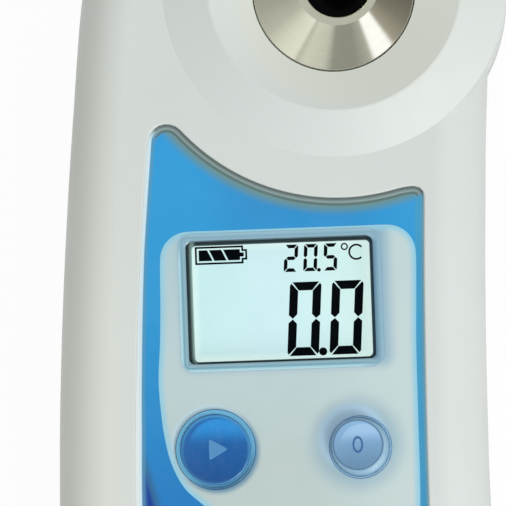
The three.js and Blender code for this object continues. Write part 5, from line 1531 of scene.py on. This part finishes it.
def start_mark():
    """A plain triangle on the large button."""
    corners = points_round(START, 1.25, steps(0, 2 * math.pi, 3))
    loop = grown(even_loop(corners, 60), 0.12)
    made = slab("start_mark", loop, START_TOP_Z - 0.025, START_TOP_Z + 0.005)
    settle(made, "start_button", START_MARK)


def zero_mark():
    """A plain nought on the small button."""
    middle = beside(ZERO, *ZERO_LEAN)
    low, high = ZERO_TOP_Z - 0.02, ZERO_TOP_Z + 0.012
    rings = []
    for across, up, z in ((0.62, 0.98, low), (0.62, 0.98, high), (0.4, 0.72, high), (0.4, 0.72, low)):
        bearings = steps(0, 2 * math.pi, 64)
        rings.append(at([beside(middle, across * math.cos(a), up * math.sin(a)) for a in bearings], z))
    settle(skinned("zero_mark", rings, closed=True), "zero_button", ZERO_MARK)


front_shell()
rear_shell()
battery_cover()
slotted_coin_screw()
housing_screws()
sample_cup()
measuring_prism()
label()
pale_field()
window_parts()
figures()
battery_gauge()
unit_mark()
button(
    "start_cap",
    START,
    radii=(START_RADIUS, START_RADIUS),
    heights=(START_RING_Z, START_TOP_Z),
    edge=0.22,
    lean=(0.0, 0.0),
    material=START_CAP,
    node="start_button",
)
button(
    "zero_cap",
    ZERO,
    radii=(ZERO_RADIUS, ZERO_TOP_RADIUS),
    heights=(ZERO_RING_Z, ZERO_TOP_Z),
    edge=0.2,
    lean=ZERO_LEAN,
    material=ZERO_CAP,
    node="zero_button",
)
start_radii = (START_RADIUS + 0.015, START_HOLE - 0.005)
zero_radii = (ZERO_RADIUS + 0.015, ZERO_HOLE - 0.005)
button_ring("start_ring", START, start_radii, START_RING_Z, 0.05, START_RING, "start_button_ring")
button_ring("zero_ring", ZERO, zero_radii, ZERO_RING_Z, 0.03, ZERO_RING, "zero_button_ring")
start_mark()
zero_mark()

# Stage, light and camera


def seen_by_eye(tree):
    """1 for what the camera sees, straight or in gloss or glass."""
    path = add(tree, "ShaderNodeLightPath").outputs
    seen = calc(tree, "MAXIMUM", path["Is Camera Ray"], path["Is Glossy Ray"])
    return calc(tree, "MAXIMUM", seen, path["Is Transmission Ray"])


def mixed_shaders(tree, share, first, second):
    made = add(tree, "ShaderNodeMixShader")
    feed(tree, made.inputs, (share, first, second))
    return made.outputs[0]


def stage_floor():
    """A pale floor that lights the sides softly and looks white to the eye."""
    floor = slab("floor", circle((0, 0), 1500, 64), -0.42, -0.02)
    material, tree, shader = finish_of("pale floor", Roughness=0.9)
    patches = ease(tree, use(tree, GRAIN, Grain_Size=2.0, Patch_Size=160.0)["Tone"], 0.3, 0.7)
    white = blend(tree, patches, srgb(250, 250, 250), srgb(255, 255, 255))
    grey = blend(tree, patches, srgb(170, 170, 168), srgb(174, 174, 172))
    seen = seen_by_eye(tree)
    tree.links.new(blend(tree, seen, grey, white), shader["Base Color"])
    light = add(tree, "ShaderNodeEmission")
    light.inputs["Strength"].default_value = 1.0
    plain = tree.nodes["Principled BSDF"].outputs[0]
    mixed = mixed_shaders(tree, product(tree, seen, 0.95), plain, light.outputs[0])
    tree.links.new(mixed, tree.nodes["Material Output"].inputs[0])
    floor.data.materials.append(material)


# Bright and dark cards round a turned metal cup, by bearing: (share of a full turn, level, tint)
CARDS = (
    (0.0, 0.38, "grey"),
    (0.055, 0.46, "grey"),
    (0.1, 0.58, "grey"),
    (0.135, 0.86, "grey"),
    (0.171, 0.98, "grey"),
    (0.176, 0.6, "grey"),
    (0.18, 0.62, "grey"),
    (0.19, 0.78, "grey"),
    (0.229, 0.66, "grey"),
    (0.246, 0.35, "grey"),
    (0.29, 0.34, "grey"),
    (0.321, 0.5, "grey"),
    (0.329, 1.3, "white"),
    (0.365, 1.3, "white"),
    (0.373, 0.45, "brown"),
    (0.42, 0.25, "brown"),
    (0.46, 0.18, "brown"),
    (0.5, 0.17, "brown"),
    (0.6, 0.48, "grey"),
    (1.0, 0.3, "grey"),
)
UPPER_ROOM = (0.6, 0.61, 0.6, 1.0)
OVERHEAD = (0.08, 0.08, 0.08, 1.0)
WHITE = (1.0, 1.0, 1.0, 1.0)
CARD_TINTS = {"grey": (1.0, 1.02, 0.98), "white": (1.0, 1.0, 1.1), "brown": (1.0, 0.94, 0.86)}


def studio_world():
    """Even light that is a little weaker from the left, and what gloss and metal show of the room."""
    world = bpy.data.worlds.new("studio")
    bpy.context.scene.world = world
    world.use_nodes = True
    tree = world.node_tree
    tree.nodes.clear()
    parts = add(tree, "ShaderNodeSeparateXYZ")
    tree.links.new(add(tree, "ShaderNodeTexCoord").outputs["Generated"], parts.inputs[0])
    x, y, z = parts.outputs
    plain = add(tree, "ShaderNodeBackground")
    feed(tree, plain.inputs, ((1.0, 1.0, 0.99, 1.0), ease(tree, x, -1.0, 1.0, 0.56, 0.72)))
    bearing = calc(tree, "FRACT", calc(tree, "DIVIDE", calc(tree, "ARCTAN2", y, x), 2 * math.pi))
    stops = [(place, (*(level * part for part in CARD_TINTS[tint]), 1.0)) for place, level, tint in CARDS]
    colour = ramp(tree, bearing, stops)
    colour = blend(tree, ease(tree, z, 0.52, 0.64), colour, UPPER_ROOM)
    colour = blend(tree, ease(tree, z, 0.975, 0.99), colour, OVERHEAD)
    path = add(tree, "ShaderNodeLightPath").outputs
    straight = calc(tree, "MAXIMUM", path["Is Camera Ray"], path["Is Transmission Ray"])
    room = add(tree, "ShaderNodeBackground")
    tree.links.new(blend(tree, straight, colour, WHITE), room.inputs["Color"])
    mixed = mixed_shaders(tree, seen_by_eye(tree), plain.outputs[0], room.outputs[0])
    tree.links.new(mixed, add(tree, "ShaderNodeOutputWorld").inputs[0])


def soft_lamp():
    """A square soft lamp to the lower right of the instrument, which it faces."""
    data = bpy.data.lights.new("key", "AREA")
    data.shape = "SQUARE"
    data.size = 0.45
    data.energy = 3.7
    lamp = placed("key", data)
    bearing, height, distance = math.radians(-50), math.radians(46), 0.9
    level = math.cos(height)
    way = Vector((level * math.cos(bearing), level * math.sin(bearing), math.sin(height)))
    lamp.location = Vector((0.0, 5.0, 25.0)) * MM + way * distance
    lamp.rotation_euler = (-way).to_track_quat("-Z", "Y").to_euler()


def photo_camera():
    """A camera far above the front, a little to its lower right and turned by two degrees."""
    data = bpy.data.cameras.new("photo camera")
    camera = placed("photo camera", data)
    reach, width_seen = 700.0, 59.5
    data.lens = data.sensor_width * reach / width_seen
    data.clip_start = 0.01
    target = Vector((-3.54, 3.14, 26.5))
    tilt = math.tan(math.radians(2.0))
    way = Vector((tilt, -tilt, 1.0)).normalized()
    camera.location = (target + way * reach) * MM
    turn = math.radians(-2.0)
    up = Vector((-math.sin(turn), math.cos(turn), 0.0))
    right = up.cross(way).normalized()
    up = way.cross(right).normalized()
    grid = [[right[i], up[i], way[i], camera.location[i]] for i in range(3)] + [[0, 0, 0, 1]]
    camera.matrix_world = Matrix(grid)
    bpy.context.scene.camera = camera


stage_floor()
studio_world()
soft_lamp()
photo_camera()
bpy.context.scene.view_settings.view_transform = "Standard"
